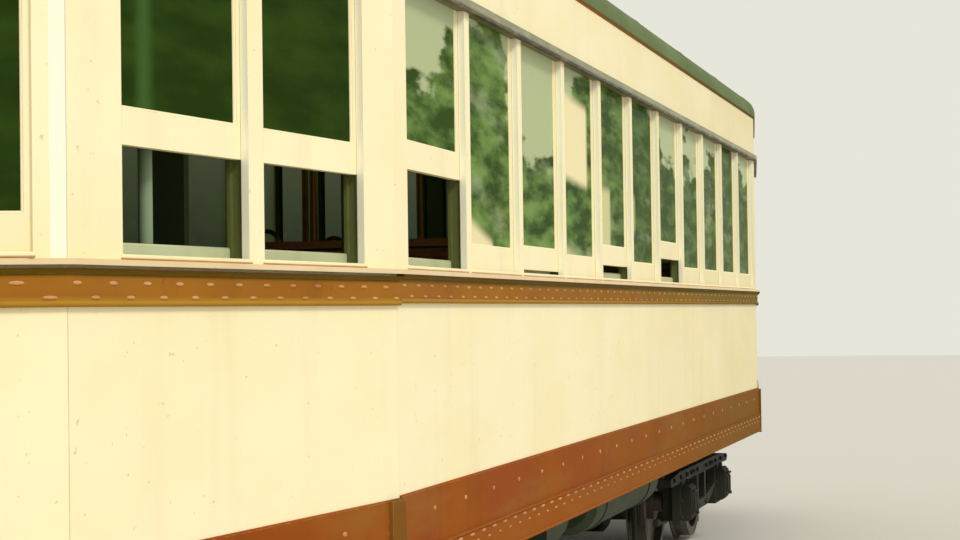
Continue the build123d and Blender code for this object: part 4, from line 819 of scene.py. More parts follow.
def glass_with_painted_reflections(name, pale, light, deep, cover, patches=(), glow=0.0, saloon=False):
    """Green plate glass: a soft mottling of light and deep green, and pale patches.

    Each patch is a soft rectangle in X and Z, a shade and a slant of its level edges. The mottling
    and the saloon's patches are painted reflections; the cab's patches are a post and pale light
    seen through the pane, painted in. In the saloon, the left side turns pale above a ragged line,
    a painted sky, and deeper towards the rear; the right side is calmer, one green that pales
    evenly towards the top, a painted sky too. The glow is painted light: the panes shine by themselves.
    """
    tree, shader = start_material(name)
    x, y, z = position(tree)
    mottle = noise(tree, (0.35, 0.35, 1.3), 9.0, 4.0)
    shade = remap(mottle, 0.36, 0.70)
    colour = blend(tree, shade, deep, light)
    if saloon:
        colour = blend(tree, remap(x, -0.4, 1.4, 0.55, 0.0), colour, deep)
        holes = noise(tree, (0.3, 0.3, 1.1), 5.0, 4.0)
        colour = blend(tree, remap(holes, 0.55, 0.70, 0.0, 0.40), colour, pale)
        slow = noise(tree, (0.35, 0.35, 1.0), 3.4, 3.0, 0.5)
        height = (slow - 0.5).math("MULTIPLY_ADD", 1.1, z)
        height = (mottle - 0.5).math("MULTIPLY_ADD", 0.6, height)
        colour = blend(tree, remap(height - painted_sky_from(x), -0.05, 0.05), colour, pale)
    for along, upright, patch_shade, slant in patches:
        lifted = z - (x - sum(along) / 2) * slant
        colour = blend(tree, band(x, *along, 0.03) * band(lifted, *upright, 0.03), colour, patch_shade)
    if saloon:
        calm = blend(tree, remap(z, 1.7, 3.0, 0.05, 0.75), deep, pale)
        calm = blend(tree, shade * 0.35, calm, light)
        colour = blend(tree, y > 0.0, calm, colour)
    dirt = noise(tree, (3, 3, 1), 3.0, 6.0, 0.65)
    # The glass colour is its emission too: a faint painted glow.
    dress(tree, shader, colour, remap(dirt, 0.3, 0.8, 0.04, 0.16), noise(tree, EVEN, 5.0, 1.0), 0.001,
          Emission_Color=colour, Emission_Strength=glow, Alpha=cover, IOR=1.45, Specular_IOR_Level=0.003)


# The saloon and cab panes glow faintly: painted light, not a lamp.
glass_with_painted_reflections("saloon_glass", tone(172, 181, 140), tone(112, 142, 74), tone(48, 72, 26), 0.90, SALOON_PAINTED_REFLECTIONS,
          glow=0.18, saloon=True)
glass_with_painted_reflections("cab_glass", tone(96, 112, 76), tone(44, 64, 20), tone(32, 50, 14), 0.90, CAB_PAINTED_PATCHES, glow=0.3)
glass_with_painted_reflections("lens", tone(228, 226, 200), tone(206, 204, 176), tone(186, 184, 156), 0.93)
glass_with_painted_reflections("red_lens", tone(150, 26, 16), tone(130, 20, 12), tone(96, 12, 8), 0.95)
MATERIALS["glass"] = MATERIALS["saloon_glass"]
print("glasses made")

# %% [markdown]
# ## Finishes on the frame's own nodes
# A node's shape is right already, so it keeps its mesh and only changes its finish. The panes
# are one node: its faces beyond the bends get the darker platform glass by their place.

# %% Put the finishes on the nodes
NODE_FINISH = {
    "side_wall_left": "wall_cream", "side_wall_right": "wall_cream", "platform_walls": "wall_cream",
    "end_walls": "wall_cream", "sashes": "sash_cream", "window_mouldings": "ledge_paint",
}
for subpart in frame["record"]["subparts"]:
    data = nodes[subpart["node"]].data
    data.materials.clear()
    data.materials.append(MATERIALS[NODE_FINISH.get(subpart["node"], subpart["material_slot"])])


def second_finish(name, finish, chosen):
    """A second finish for the faces of a node whose centre's X passes a test."""
    data = nodes[name].data
    data.materials.append(MATERIALS[finish])
    centres = np.zeros(len(data.polygons) * 3)
    data.polygons.foreach_get("center", centres)
    data.polygons.foreach_set("material_index", chosen(centres[::3]).astype(np.int32))


second_finish("window_glass", "cab_glass", lambda x: np.abs(x) > BEND_X)
second_finish("lamp_lenses", "red_lens", lambda x: x < 0)

# %% [markdown]
# ## The body's outline as a path
# Rivets, beads and nosings all follow the same line round the car, so it is worked out once, at
# any distance out from the wall. The mitres at the bends and corner posts come from the same
# formulas as the wall itself. The belt and sill stop at the two doorways on the right side.

# %% The outline
BOW_STEPS = 41


def taper_point(distance, out, end, side):
    """A point on a platform's side: the bend plus the distance along the slope, moved outwards."""
    x = BEND_X + distance * np.cos(SLOPE) + out * np.sin(SLOPE)
    y = HALF_W - distance * np.sin(SLOPE) + out * np.cos(SLOPE)
    return np.stack([end * x, side * y], axis=-1)[..., None, :]


def bend_point(out, end, side):
    """The mitred bend between the straight and the tapered side, moved outwards."""
    return np.stack([end * (BEND_X + out * np.tan(SLOPE / 2)), side * (HALF_W + out)], axis=-1)[:, None]


def bow_arc(out, end, start):
    """The bow from one corner post to the other: its corner is where the slope meets the circle."""
    bend = BEND_X + out * np.tan(SLOPE / 2)
    side, run = HALF_W + out, bend - BOW_X
    along = run * np.cos(SLOPE) - side * np.sin(SLOPE)
    reach = np.sqrt(along ** 2 - run ** 2 - side ** 2 + (BOW_R + out) ** 2) - along
    angle = np.arctan2(side - reach * np.sin(SLOPE), run + reach * np.cos(SLOPE))
    turn = start * angle[:, None] * np.linspace(1, -1, BOW_STEPS)
    radius = (BOW_R + out)[:, None]
    return np.stack([end * (BOW_X + radius * np.cos(turn)), radius * np.sin(turn)], axis=-1)


def outline_runs(out):
    """Two open runs between the doorways, for each distance out: (k, n, 2) points and their sag."""
    out = np.atleast_1d(np.asarray(out, float))
    far, near = DOOR_AT + DOOR_W / 2, DOOR_AT - DOOR_W / 2
    long_run = [
        taper_point(far, out, 1, -1), bow_arc(out, 1, -1), bend_point(out, 1, 1), bend_point(out, 1, 1),
        bend_point(out, -1, 1), bend_point(out, -1, 1), bow_arc(out, -1, 1), taper_point(far, out, -1, -1),
    ]
    sag_end = [1] * (BOW_STEPS + 2)
    short_run = [
        taper_point(near, out, 1, -1), bend_point(out, 1, -1), bend_point(out, 1, -1),
        bend_point(out, -1, -1), bend_point(out, -1, -1), taper_point(near, out, -1, -1),
    ]
    return [(np.concatenate(long_run, axis=1), np.array(sag_end + [0, 0] + sag_end)),
            (np.concatenate(short_run, axis=1), np.array([1, 1, 0, 0, 1, 1]))]


def moulding(profile, sagging=True):
    """A closed (out, height) profile carried along both outline runs."""
    shapes = []
    for flat, sag in outline_runs(profile[:, 0]):
        height = profile[:, 1][:, None] - SAG * sag[None] * sagging
        sections = np.concatenate([flat, height[..., None]], axis=-1).transpose(1, 0, 2)
        shapes.append(sweep(sections))
    return merge(shapes)


def ring_moulding(profile):
    """A closed (out, height) profile carried all the way round the body, over the doorways too."""
    out = profile[:, 0]
    flat = np.concatenate([
        bend_point(out, 1, -1), bow_arc(out, 1, -1), bend_point(out, 1, 1), bend_point(out, -1, 1),
        bow_arc(out, -1, 1), bend_point(out, -1, -1),
    ], axis=1)
    height = np.broadcast_to(profile[:, 1][:, None, None], flat.shape[:2] + (1,))
    return sweep(np.concatenate([flat, height], axis=-1).transpose(1, 0, 2), closed_path=True)


def arc_profile(centre, radius, start, stop, steps, back=()):
    """An arc of (out, height) points between two angles in degrees, closed through other points."""
    turn = np.radians(np.linspace(start, stop, steps))
    arc = np.column_stack([centre[0] + radius * np.cos(turn), centre[1] + radius * np.sin(turn)])
    return np.vstack([arc, np.reshape(back, (-1, 2))])


print("points along the two outline runs", [flat.shape[1] for flat, _ in outline_runs(0.0)])

# %% [markdown]
# ## Beads and drips
# The frame's rails are square-edged plates. On the car, a half-round bead finishes the belt's
# lower edge, a cove fills the corner under the ledge, a weld bead runs along the thick lower
# strip of the sill, and a small moulding closes the corner between letterboard and roof.

# %% Mouldings round the body
BELT_FOOT, BELT_HEAD = BELT_Z
HALF_ROUND = (-90, 90, 7)
MOULDINGS = [
    ("belt_bead", (0.010, BELT_FOOT + 0.008), 0.008, HALF_ROUND, [], "rail_paint", None),
    ("ledge_cove", (0.0275, BELT_HEAD - 0.014), 0.0135, (90, 180, 6),
     [(0.009, BELT_HEAD - 0.014), (0.009, BELT_HEAD)], "rail_paint", None),
    ("ledge_nosing", (0.020, BELT_HEAD + 0.0075), 0.0079, HALF_ROUND, [], "rail_paint", "ledge_paint"),
    ("sill_strip_edge", (0.016, SILL_EDGE_Z - 0.005), 0.006, (0, 110, 6),
     [(0.007, SILL_EDGE_Z + 0.002), (0.007, SILL_EDGE_Z - 0.005)], "sill_paint", None),
    ("sill_lower_bead", (0.016, SILL_Z[0] + 0.007), 0.007, HALF_ROUND, [], "sill_paint", None),
    ("sill_top_bead", (0.002, SILL_Z[1] - 0.001), 0.006, (0, 120, 6), [(-0.001, SILL_Z[1] - 0.001)],
     "sill_paint", None),
]
for name, centre, radius, arc, back, slot, finish in MOULDINGS:
    profile = arc_profile(centre, radius, *arc, back=back)
    piece(name, moulding(profile, sagging=name != "ledge_nosing"), slot, finish)
eave_back = [(-0.001, EAVE_Z - 0.001), (-0.001, EAVE_Z - 0.013)]
eave = arc_profile((0.012, EAVE_Z - 0.013), 0.012, 180, 90, 6, back=eave_back)
piece("eave_cove", ring_moulding(eave), "rail_paint")

# %% [markdown]
# ## Rivets
# Two staggered rows hold the belt rail, a wide row holds the sill plate, and close pairs run
# along its thick strip, where the light catches them as dashes. One low dome is repeated along
# the outline: equal steps of arc length give the places, and the path's direction gives each
# dome its axes.

# %% Rivets along the outline
RIVET_SIDES = 8
RIVET_PITCH = 0.152


def dome(radius, height, sides=RIVET_SIDES):
    """A rivet head about Z: rings at 1, 0.84 and 0.45 of the radius rising on a circle's arc."""
    turn = np.linspace(0, 2 * np.pi, sides, endpoint=False)
    share, rise = np.array([[1.0], [0.84], [0.45]]), np.array([[0.0], [0.58], [0.92]])
    flat = radius * share
    rings = np.stack([flat * np.cos(turn), flat * np.sin(turn), height * rise + 0 * turn], axis=-1)
    points = np.concatenate([rings.reshape(-1, 3), [(0, 0, -0.0005), (0, 0, height)]])
    ring = np.arange(sides)
    caps = np.concatenate([fan(3 * sides, ring[::-1]), fan(3 * sides + 1, ring + 2 * sides)])
    return points, grid_faces(3, sides, close_columns=True), caps


def along_outline(out, pitch, shift=0.0, margin=0.03):
    """Places at equal steps along both runs: flat points, outward directions and their sag."""
    spots, facings, sags = [], [], []
    for flat, sag in outline_runs(out):
        line = flat[0]
        step = np.linalg.norm(np.diff(line, axis=0), axis=1)
        length = np.concatenate([[0], np.cumsum(step)])
        want = np.arange(margin + shift, length[-1] - margin, pitch)
        index = np.clip(np.searchsorted(length, want, side="right") - 1, 0, len(step) - 1)
        size = np.maximum(step[index], 1e-9)
        start, stop = line[index], line[index + 1]
        spots.append(start + (stop - start) * ((want - length[index]) / size)[:, None])
        way = (stop - start) / size[:, None]
        facing_way = np.column_stack([way[:, 1], -way[:, 0]])
        middle = np.column_stack([np.clip(start[:, 0], -BOW_X, BOW_X), np.zeros(len(start))])
        outward = np.sign(np.sum(facing_way * (start - middle), axis=1))
        facings.append(facing_way * np.where(outward == 0, 1, outward)[:, None])
        sags.append(sag[np.minimum(index + 1, len(sag) - 1)] * sag[index])
    return np.concatenate(spots), np.concatenate(facings), np.concatenate(sags)


def rivet_row(out, height, pitch, radius, rise=0.0036, shift=0.0, stretch=1.0):
    """A row of domes along the outline, at a height and a distance out, stretched along it."""
    spots, facings, sags = along_outline(out, pitch, shift)
    level = np.zeros(len(facings))
    along = np.column_stack([-facings[:, 1], facings[:, 0], level]) * stretch
    upright = np.broadcast_to((0, 0, 1.0), along.shape)
    axes = np.stack([along, upright, np.column_stack([facings, level])], axis=1)
    return repeat(dome(radius, rise), np.column_stack([spots, height - SAG * sags]), axes)


belt_h, sill_h = BELT_Z[1] - BELT_Z[0], SILL_Z[1] - SILL_Z[0]
piece("belt_rivets", [
    rivet_row(0.010, BELT_Z[1] - 0.38 * belt_h, RIVET_PITCH, 0.0055, stretch=3.6),
    rivet_row(0.010, BELT_Z[1] - 0.76 * belt_h, RIVET_PITCH, 0.0055, shift=RIVET_PITCH / 2, stretch=3.6),
], "rail_paint", "belt_heads")
piece("sill_rivets", [
    rivet_row(0.008, SILL_Z[1] - 0.22 * sill_h, 0.380, 0.009, stretch=1.6),
    rivet_row(0.016, SILL_EDGE_Z - 0.018, RIVET_PITCH, 0.0060, stretch=5.0),
    rivet_row(0.016, SILL_EDGE_Z - 0.046, RIVET_PITCH, 0.0045, shift=RIVET_PITCH / 2, stretch=4.0),
], "sill_paint", "sill_heads")

# %% [markdown]
# ## Window frames as local places
# The car has thirty-four windows on straight, tapered and bowed walls. Anything that sits in a
# window is worked out once, flat, and then laid into each wall by three axes: along it, out of it
# and up. That keeps the beads and boards square to their own wall.

# %% Places of the windows
PLATFORM_WINDOWS = ((0.541, 0.626), (1.252, 0.626))
SMALL_WINDOW = (0.400, 0.440)
END_WINDOW = (0.727, 0.600)
SASH_IN, END_SASH_IN = 0.024, 0.036


def taper_spot(distance, end, side, out=0.0):
    """One flat point on a platform's side."""
    return taper_point(distance, np.float64(out), end, side)[0]


def list_windows():
    """Each window as its point on the wall, outward direction, width, rise and depth of sash."""
    rows = []
    for number, raised in enumerate(RAISED):
        x = FIRST_WINDOW_X - number * WINDOW_PITCH
        rows.append(((x, HALF_W), (0, 1), WINDOW_W, raised, SASH_IN))
        rows.append(((x, -HALF_W), (0, -1), WINDOW_W, 0, SASH_IN))
    for end in (1, -1):
        for side, windows in ((1, PLATFORM_WINDOWS), (-1, (SMALL_WINDOW,))):
            for distance, width in windows:
                raised = PLATFORM_RAISED if end > 0 and side > 0 else 0
                way = (end * np.sin(SLOPE), side * np.cos(SLOPE))
                rows.append((taper_spot(distance, end, side), way, width, raised, SASH_IN))
        for number in (-1, 0, 1):
            turn = number * END_WINDOW[0] / BOW_R
            way = np.array([end * np.cos(turn), np.sin(turn)])
            rows.append((way * BOW_R + (end * BOW_X, 0), way, END_WINDOW[1], 0, END_SASH_IN))
    return rows


WINDOWS = list_windows()


def in_wall(shape, spot, way):
    """A flat-laid shape (along, out, up) put into a wall at a spot, facing outwards."""
    axes = np.array([(-way[1], way[0], 0), (way[0], way[1], 0), (0, 0, 1.0)])
    return repeat(shape, (spot[0], spot[1], 0), axes)


def mitred_frame(half, z, depth, profile):
    """A (inset, out) profile carried round a rectangle: each corner moves in by the inset."""
    inset, out = np.asarray(profile, float).T
    signs = np.array([(-1, -1), (1, -1), (1, 1), (-1, 1)])
    across = signs[:, :1] * (half - inset)
    height = (z[0] + z[1]) / 2 + signs[:, 1:] * ((z[1] - z[0]) / 2 - inset)
    return sweep(np.stack([across, -depth + out + 0 * across, height], axis=-1), closed_path=True)


print("windows", len(WINDOWS))

# %% [markdown]
# ## Beads and sill boards at the windows
# Putty beads hold each pane against its sash, a small nosing sheds rain below the opening, and a
# pale board lies inside behind the sash: it is what shows at the foot of an open window.

# %% Window trim
BEAD = 0.007
GLASS_BEHIND_SASH = 0.0083
BOARD_Y, BOARD_H = (-0.080, -0.0575), 0.034
NOSING_Y, NOSING_Z = (-0.004, 0.007), (LEDGE_Z + 0.0005, STOOL_Z + 0.0015)
quarter = np.radians(np.linspace(0, 90, 4))
bead_profile = np.vstack([
    np.column_stack([BEAD * np.cos(quarter), BEAD * np.sin(quarter)]),
    [(-0.001, 0.0), (-0.001, -0.001), (BEAD, -0.001)],
])
beads, nosings, boards_inside = [], [], []
for spot, way, width, raised, depth in WINDOWS:
    half = width / 2
    light_z = (STOOL_Z + raised + SASH_BOTTOM, STOOL_Z + raised + SASH_H - SASH_TOP)
    bead = mitred_frame(half - SASH_STILE, light_z, depth + GLASS_BEHIND_SASH, bead_profile)
    beads.append(in_wall(bead, spot, way))
    nosings.append(in_wall(slab((-half - 0.008, half + 0.008), NOSING_Y, NOSING_Z, 0.0025), spot, way))
    if depth == SASH_IN:
        board = slab((-half + 0.003, half - 0.003), BOARD_Y, (STOOL_Z - 0.001, STOOL_Z + BOARD_H), 0.004)
        boards_inside.append(in_wall(board, spot, way))
piece("putty_beads", beads, "cream_paint")
piece("window_nosings", nosings, "cream_paint", "nosing_paint")
piece("inner_sill_boards", boards_inside, "interior_green", "sill_board")

# %% [markdown]
# ## Roof canvas and its fittings
# Tram roofs are boards under painted canvas, lapped at seams across the roof. The seams follow
# the same two arcs as the roof: a small one for the shoulder and a large one for the crown. The
# boards that carry the trolley are bolted to their bearers.

# %% Roof seams and board bolts
CROWN_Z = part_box("roof")[1].z
SHOULDER_R = 0.125
SHOULDER_Y, SHOULDER_Z = HALF_W + 0.012 - SHOULDER_R, EAVE_Z + 0.020
CROWN_R = ((SHOULDER_Y ** 2 + (CROWN_Z - SHOULDER_Z) ** 2 - SHOULDER_R ** 2)
           / (2 * (CROWN_Z - SHOULDER_Z - SHOULDER_R)))
CROWN_AT = CROWN_Z - CROWN_R
LEAN = np.arctan2(SHOULDER_Y, SHOULDER_Z - CROWN_AT)
SEAM_W, SEAM_LIFT, SEAM_PITCH = 0.055, 0.0022, 1.36


def roof_arc(lift, steps=40):
    """Points (y, z) over the roof: the shoulder's small arc, the crown's large one and back down."""
    shoulder = np.linspace(0, np.pi / 2 - LEAN, 7)
    small, large = SHOULDER_R + lift, CROWN_R + lift
    rising = np.column_stack([SHOULDER_Y + small * np.cos(shoulder), SHOULDER_Z + small * np.sin(shoulder)])
    turn = np.linspace(LEAN, -LEAN, steps)[1:-1]
    crown = np.column_stack([large * np.sin(turn), CROWN_AT + large * np.cos(turn)])
    return np.concatenate([rising, crown, rising[::-1] * (-1, 1)])


def roof_seam(x):
    """One lapped seam: a low trapezium carried along the roof's arc."""
    half = SEAM_W / 2
    profile = [(-half, -0.001), (-half + 0.004, SEAM_LIFT), (half - 0.004, SEAM_LIFT), (half, -0.001)]
    arcs = [(x + along, roof_arc(lift)) for along, lift in profile]
    return sweep(np.stack([np.column_stack([np.full(len(arc), at), arc]) for at, arc in arcs], axis=1))


piece("roof_seams", [roof_seam(x) for x in np.arange(-3, 4) * SEAM_PITCH], "roof_paint")
deck_low, deck_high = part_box("trolley_boards")
board_y = np.linspace(deck_low.y + 0.055, deck_high.y - 0.055, 6)
bearer_x = np.linspace(deck_low.x + 0.035, deck_high.x - 0.035, 5)
spots = [(x, y + side * 0.028, deck_high.z) for x in bearer_x for y in board_y for side in (-1, 1)]
piece("board_bolts", repeat(dome(0.009, 0.005), spots), "deck_wood", "bare_steel")

# %% [markdown]
# ## Springs on the trolley base
# Two long springs pull the pole up. Each is a helix: round a circle while it moves along X. They
# ride with the turntable, whose barrels they wrap.

# %% Trolley springs
runner_low, runner_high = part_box("trolley_wheel")
HINGE_Z = runner_low.z / 2 + runner_high.z / 2
SPRING_X, SPRING_Y, SPRING_DROP = (-0.745, -0.39), 0.089, 0.045


def helix(x, y, z, radius, wire, turns, sides=6):
    """A coil along X: y and z go round a circle, x moves evenly."""
    turn = np.linspace(0, 2 * np.pi * turns, int(turns * 12) + 1)
    path = np.column_stack([np.linspace(*x, len(turn)), y + radius * np.cos(turn), z + radius * np.sin(turn)])
    return tube(path, wire, sides)


coils = [helix(SPRING_X, side * SPRING_Y, HINGE_Z - SPRING_DROP, 0.0455, 0.0035, 22) for side in (-1, 1)]
piece("trolley_springs", coils, "bare_steel", body="trolley_turntable")

# %% [markdown]
# ## Nuts, lids and rods on the trucks
# A truck is bolted together: hexagon nuts stand on the pedestals and tie bars, each journal box
# has a hinged lid with a latch, and rods run from brake to brake. One nut and one lid are made
# and repeated at places given in the truck's own frame, then moved to each truck.

# %% Small shapes for the trucks
FACE_Y, LID_Y, JAW_HALF = FRAME_Y + 0.028, FRAME_Y + 0.106, 0.118
FACE_OUT = np.array([(-1, 0, 0), (0, 0, 1), (0, 1, 0)], float)
ROD_Y, ROD_Z = 0.885, 0.285
ROD_LINE = ((-1.13, 0.02), (-0.9, 0), (0, 0), (0.9, 0), (1.13, 0.02))
PIPE_X, PIPE_Y, PIPE_TOP, PIPE_FALL = 1.222, 0.757, 0.60, 0.525


def hex_nut(across, height, stud):
    """A nut about Z: six flats with its upper corners cut, and the end of its bolt as a button."""
    turn = np.radians(np.arange(6) * 60)
    corners = np.column_stack([np.cos(turn), np.sin(turn)]) * across
    rings = [np.column_stack([corners * radius, np.full(6, height * z)])
             for radius, z in ((1, 0), (1, 0.75), (0.86, 1), (stud, 1), (stud, 1.4))]
    return sweep(np.array(rings))


def on_faces(shape, spots):
    """Copies of a shape on both sides of a truck, its Z straight out, at (x, y, z) spots."""
    return merge([repeat(shape, np.array(spots) * (1, side, 1), FACE_OUT * (1, side, 1)) for side in (-1, 1)])


def journal_lid():
    """The raised middle of a box's lid, its hinge roll along the top and a latch at the foot."""
    plate = slab((-0.058, 0.058), (-0.060, 0.052), (-0.001, 0.009), 0.004)
    rib = slab((-0.012, 0.012), (-0.072, 0.060), (0.008, 0.015), 0.004)
    roll = tube([(x, 0.074, 0.004) for x in (-0.070, -0.02, 0.02, 0.070)], 0.009)
    latch = slab((-0.016, 0.016), (-0.078, -0.056), (0.006, 0.022), 0.004)
    return merge([plate, rib, roll, latch])


def brake_rods():
    """A pull rod along each side between the brakes, with its long turnbuckle and two jaws."""
    shapes, z = [], ROD_Z
    for y in (-ROD_Y, ROD_Y):
        shapes.append(tube([(x, y, z + lift) for x, lift in ROD_LINE], 0.011))
        shapes.append(slab((-0.11, 0.11), (y - 0.019, y + 0.019), (z - 0.014, z + 0.014), 0.006))
        for jaw in ((-1.165, -1.10), (1.10, 1.165)):
            shapes.append(slab(jaw, (y - 0.018, y + 0.018), (z, z + 0.045), 0.006))
    return merge(shapes)


def sand_pipes():
    """Pipes that drop sand before the wheels: each a soft S in X, from the end bar straight down."""
    fall = np.linspace(0, 1, 12)
    ease = fall * fall * (3 - 2 * fall)
    collar = spun([(0.0, 0), (0.024, 0), (0.024, 0.03), (0.0, 0.03)], 10)
    shapes = []
    for end in (-1, 1):
        for y in (-PIPE_Y, PIPE_Y):
            x, z = end * (PIPE_X - 0.010 * ease), PIPE_TOP - PIPE_FALL * fall
            shapes += [tube(np.column_stack([x, np.full(12, y), z]), 0.016),
                       moved(collar, end * PIPE_X, y, PIPE_TOP - 0.015)]
    return merge(shapes)


jaw_spots = [(axle * HALF_BASE + leg * JAW_HALF, FACE_Y, z)
             for axle in (-1, 1) for leg in (-1, 1) for z in (0.315, 0.42, 0.53, 0.575)]
bar_spots = [(x, FACE_Y, 0.573) for x in (-0.44, -0.36, -0.19, 0.19, 0.36, 0.44, -1.10, 1.10)]
plank_spots = [(x, FACE_Y, 0.325) for x in (-0.20, -0.15, 0.15, 0.20)]
truck_parts = {
    "frame_nuts": on_faces(hex_nut(0.016, 0.012, 0.55), jaw_spots + bar_spots + plank_spots),
    "journal_lids": on_faces(journal_lid(), [(axle * HALF_BASE, LID_Y, AXLE_Z) for axle in (-1, 1)]),
    "brake_rods": brake_rods(), "sand_pipes": sand_pipes(),
}
for truck, x in (("front", TRUCK_X), ("rear", -TRUCK_X)):
    for name, shape in truck_parts.items():
        piece(f"{name}_{truck}", moved(shape, x), "truck_black", body=f"{truck}_truck",
              smooth=name != "frame_nuts")

# %% [markdown]
# ## Air pipes under the floor
# Iron pipe joins the tank to the compressor and runs the length of the saloon. A pipe is a tube
# along a path whose corners are eased, with a short sleeve before each corner.

# %% Underfloor pipes


def pipe_run(points, radius):
    """A pipe through corner points: each corner is a curve (1-t)^2 a + 2t(1-t) corner + t^2 b."""
    points = np.asarray(points, float)
    way = np.diff(points, axis=0)
    way = way / np.linalg.norm(way, axis=1, keepdims=True)
    path, sleeves = [points[:1]], []
    for spot, before, after in zip(points[1:-1], way[:-1], way[1:]):
        t = np.linspace(0, 1, 5)[:, None]
        start, stop = spot - 0.05 * before, spot + 0.05 * after
        path.append((1 - t) ** 2 * start + 2 * t * (1 - t) * spot + t ** 2 * stop)
        sleeves.append(tube([spot - 0.085 * before, spot - 0.050 * before], radius * 1.35))
    path.append(points[-1:])
    return merge([tube(np.concatenate(path), radius)] + sleeves)


piece("air_pipes", [
    pipe_run([(0.02, 0.82, 0.645), (0.20, 0.82, 0.645), (0.20, 0.82, 0.78), (0.56, 0.82, 0.78)], 0.016),
    pipe_run([(-2.3, 0.42, 0.80), (2.3, 0.42, 0.80)], 0.019),
    pipe_run([(-2.3, -0.42, 0.80), (2.3, -0.42, 0.80)], 0.019),
], "grey_gear")

# %% [markdown]
# ## Lamps, rims and the sign
# The headlamp and tail lamps have rolled rims. The sign box gets a rounded frame about a blank
# cloth panel: it names no place.

# %% Rims and sign
LAMP_Z = 1.450
TAIL_TURN = np.radians(28)
FORWARD = np.array([(0, 1, 0), (0, 0, 1), (1, 0, 0)], float)


def rim_ring(radius, thick, steps=40):
    """A rolled rim about Z: a circle of the roll's thickness turned round the lamp's axis."""
    roll = np.linspace(0, 2 * np.pi, 8, endpoint=False)
    profile = np.column_stack([radius + thick * np.cos(roll), thick * np.sin(roll)])
    return spun(np.vstack([profile, profile[:1]]), steps)


rims = [repeat(rim_ring(0.127, 0.0075), (NOSE_X + 0.1425, 0, LAMP_Z), FORWARD)]
for turn in (-TAIL_TURN, TAIL_TURN):
    way = -np.array([np.cos(turn), np.sin(turn)])
    spot = way * (BOW_R + 0.0565) + (-BOW_X, 0)
    axes = np.array([(-way[1], way[0], 0), (0, 0, 1.0), (way[0], way[1], 0)])
    rims.append(repeat(rim_ring(0.0495, 0.0035, 28), (*spot, LAMP_Z), axes))
piece("lamp_rims", rims, "brass")
sign_low, sign_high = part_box("sign_box")
sign_half, sign_z = sign_high.y, (sign_low.z, sign_high.z)
half_turn = np.radians(np.linspace(0, 180, 6))
sign_profile = np.column_stack([0.013 - 0.013 * np.cos(half_turn), 0.006 * np.sin(half_turn)])
sign_profile = np.vstack([sign_profile, [(0.026, -0.002), (0.0, -0.002)]])
sign_edge = mitred_frame(sign_half, sign_z, -0.0005, sign_profile)
cloth = slab((-sign_half + 0.02, sign_half - 0.02), (-0.001, 0.0015),
             (sign_z[0] + 0.02, sign_z[1] - 0.02), 0.0006)
piece("sign_frame", in_wall(sign_edge, (sign_high.x, 0), (1.0, 0.0)), "frame_black", "brass")
piece("sign_cloth", in_wall(cloth, (sign_high.x, 0), (1.0, 0.0)), "cream_paint", "sill_board")

# %% [markdown]
# ## Handles at the doors
# A long upright rail stands on each jamb of both doorways: a tube held off the wall by its two
# bent ends, each on a round foot. Narrow steel strips on the steps keep a wet sole from slipping.

# %% Grab rails and step treads
RAIL_ENDS_Z, RAIL_STAND = (1.86, 2.62), 0.045
TREAD_AT = np.arange(-0.36, 0.37, 0.045)
TREADS = (((-0.185, 0.075), (0.4145, 0.4180)), ((-0.40, -0.10), (0.7205, 0.7240)))


def upright_rail(along, radius=0.0135):
    """An upright rail held off the wall: a tube whose two ends bend back to round feet."""
    (low, high), stand = RAIL_ENDS_Z, RAIL_STAND
    bend = np.linspace(0, np.pi / 2, 5)
    out, rise = stand * np.sin(bend), stand * (1 - np.cos(bend))
    path = [np.column_stack([np.full(5, along), out, low + rise]),
            np.column_stack([np.full(5, along), out[::-1], high - rise[::-1]])]
    foot = spun([(0.0, 0.0), (0.028, 0.0), (0.026, 0.006), (radius, 0.012), (0.0, 0.012)], 14)
    feet = [(foot[0][:, [0, 2, 1]] + np.array([along, 0.0, z]), foot[1], foot[2]) for z in (low, high)]
    return merge([tube(np.concatenate(path), radius, 10)] + feet)


rails, treads = [], []
for end in (1, -1):
    spot, way = taper_spot(DOOR_AT, end, -1), np.array([end * np.sin(SLOPE), -np.cos(SLOPE)])
    for jamb in (-1, 1):
        rails.append(in_wall(upright_rail(jamb * (DOOR_W / 2 + 0.075)), spot, way))
    for along in TREAD_AT:
        for deep, height in TREADS:
            treads.append(in_wall(slab((along - 0.008, along + 0.008), deep, height, 0.0015), spot, way))
piece("door_grab_rails", rails, "brass")
piece("step_treads", treads, "bare_steel")

# %% [markdown]
# ## Inside the saloon
# Through the open windows the eye meets the ceiling lamps, the rails with their leather straps,
# and the seat handles. Each strap is a flat loop: a rounded triangle of leather round its rail.

# %% Ceiling lamps, rails and straps
RAIL_Y, RAIL_Z = 0.42, 2.96
RAIL_HALF, HANGER_HALF, LAMP_HALF = 3.9, 3.7, 3.0
STRAP_HALF, STRAP_THICK = 0.013, 0.004
LINING_THICK = 0.046
bench_x = FIRST_WINDOW_X - (np.arange(WINDOW_COUNT - 1) + 0.5) * WINDOW_PITCH


def strap_loop():
    """A hanging strap in the plane of X: up one side, over the rail, down and round a soft bottom."""
    turn = np.linspace(0, 2 * np.pi, 24, endpoint=False)
    width = np.where(np.sin(turn) > 0, 0.018, 0.052)
    path = np.column_stack([width * np.cos(turn), 0 * turn, 0.13 * np.sin(turn) - 0.117])
    out = path - (0, 0, -0.117)
    out = STRAP_THICK * out / np.linalg.norm(out, axis=1, keepdims=True)
    half = np.array([0, STRAP_HALF, 0])
    corners = [path - half, path + half, path + half + out, path - half + out]
    return sweep(np.stack(corners, axis=1), closed_path=True)


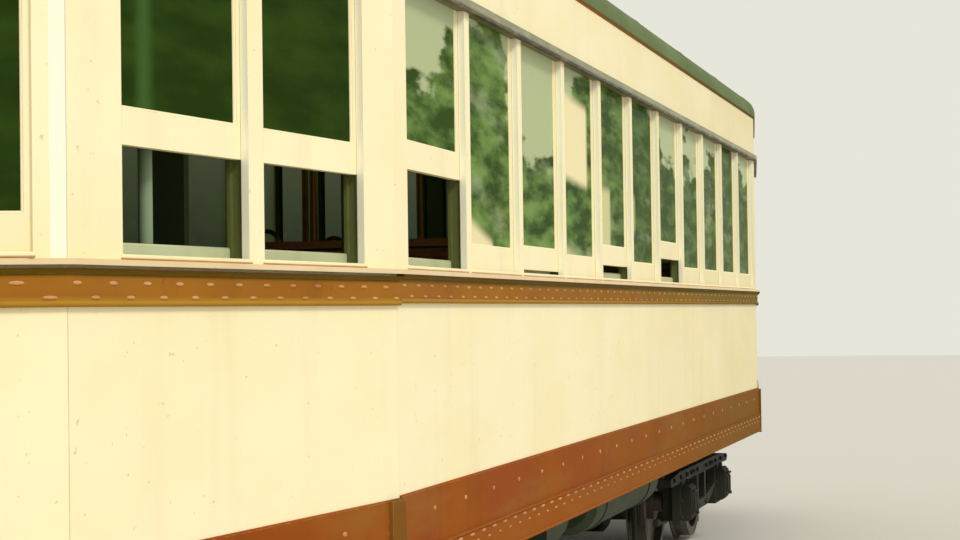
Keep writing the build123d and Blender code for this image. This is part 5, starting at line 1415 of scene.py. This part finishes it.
hanger = CROWN_AT + np.sqrt((CROWN_R - LINING_THICK) ** 2 - RAIL_Y ** 2) - RAIL_Z
rail_parts, strap_spots = [], []
for y in (-RAIL_Y, RAIL_Y):
    rail_parts.append(tube([(x, y, RAIL_Z) for x in np.linspace(-RAIL_HALF, RAIL_HALF, 9)], 0.014))
    for x in np.linspace(-HANGER_HALF, HANGER_HALF, 7):
        rail_parts.append(tube([(x, y, RAIL_Z), (x, y, RAIL_Z + hanger)], 0.009, 6))
    strap_spots += [(x, y, RAIL_Z + 0.004) for x in np.concatenate([bench_x - 0.16, bench_x + 0.16])]
piece("ceiling_rails", rail_parts, "brass")
piece("hand_straps", repeat(strap_loop(), strap_spots), "bench_wood", "strap_leather")
globe = spun([(0.0, -0.150), (0.045, -0.146), (0.075, -0.122), (0.084, -0.088), (0.066, -0.055),
              (0.050, -0.045)], 20)
collar = spun([(0.0, 0.0), (0.074, 0.0), (0.070, -0.020), (0.050, -0.028), (0.056, -0.048),
               (0.0, -0.048)], 20)
lamp_spots = [(x, 0, CROWN_Z - LINING_THICK) for x in np.linspace(-LAMP_HALF, LAMP_HALF, 5)]
piece("ceiling_globes", repeat(globe, lamp_spots), "lens")
piece("ceiling_collars", repeat(collar, lamp_spots), "brass")

# %% Seat handles
SEAT_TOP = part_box("seat_benches")[1].z
BACK_BEHIND, HANDLE_Y = 0.278, 0.390
turn = np.linspace(0, np.pi, 9)
handle_parts = []
for x in bench_x:
    for side in (-1, 1):
        across, rise = side * (HANDLE_Y + 0.055 * np.cos(turn)), SEAT_TOP - 0.02 + 0.062 * np.sin(turn)
        handle_parts.append(tube(np.column_stack([np.full(9, x - BACK_BEHIND), across, rise]), 0.009))
piece("seat_handles", handle_parts, "brass")

# %% [markdown]
# ## Stanchions on the platforms
# Pale green posts stand inside the platform windows and carry the roof's first rib. One of them
# shows through the front platform's open window.

# %% Platform stanchions
STANCHIONS = ((1, 1.28), (-1, 0.17))
STANCHION_IN = 0.115
post = spun([(0.0, 1.025), (0.042, 1.025), (0.040, 1.040), (0.019, 1.052), (0.019, 3.05), (0.0, 3.05)], 16)
posts = [moved(post, *taper_spot(distance, end, side, -STANCHION_IN))
         for end in (1, -1) for side, distance in STANCHIONS]
piece("platform_stanchions", posts, "interior_green", "post_green")
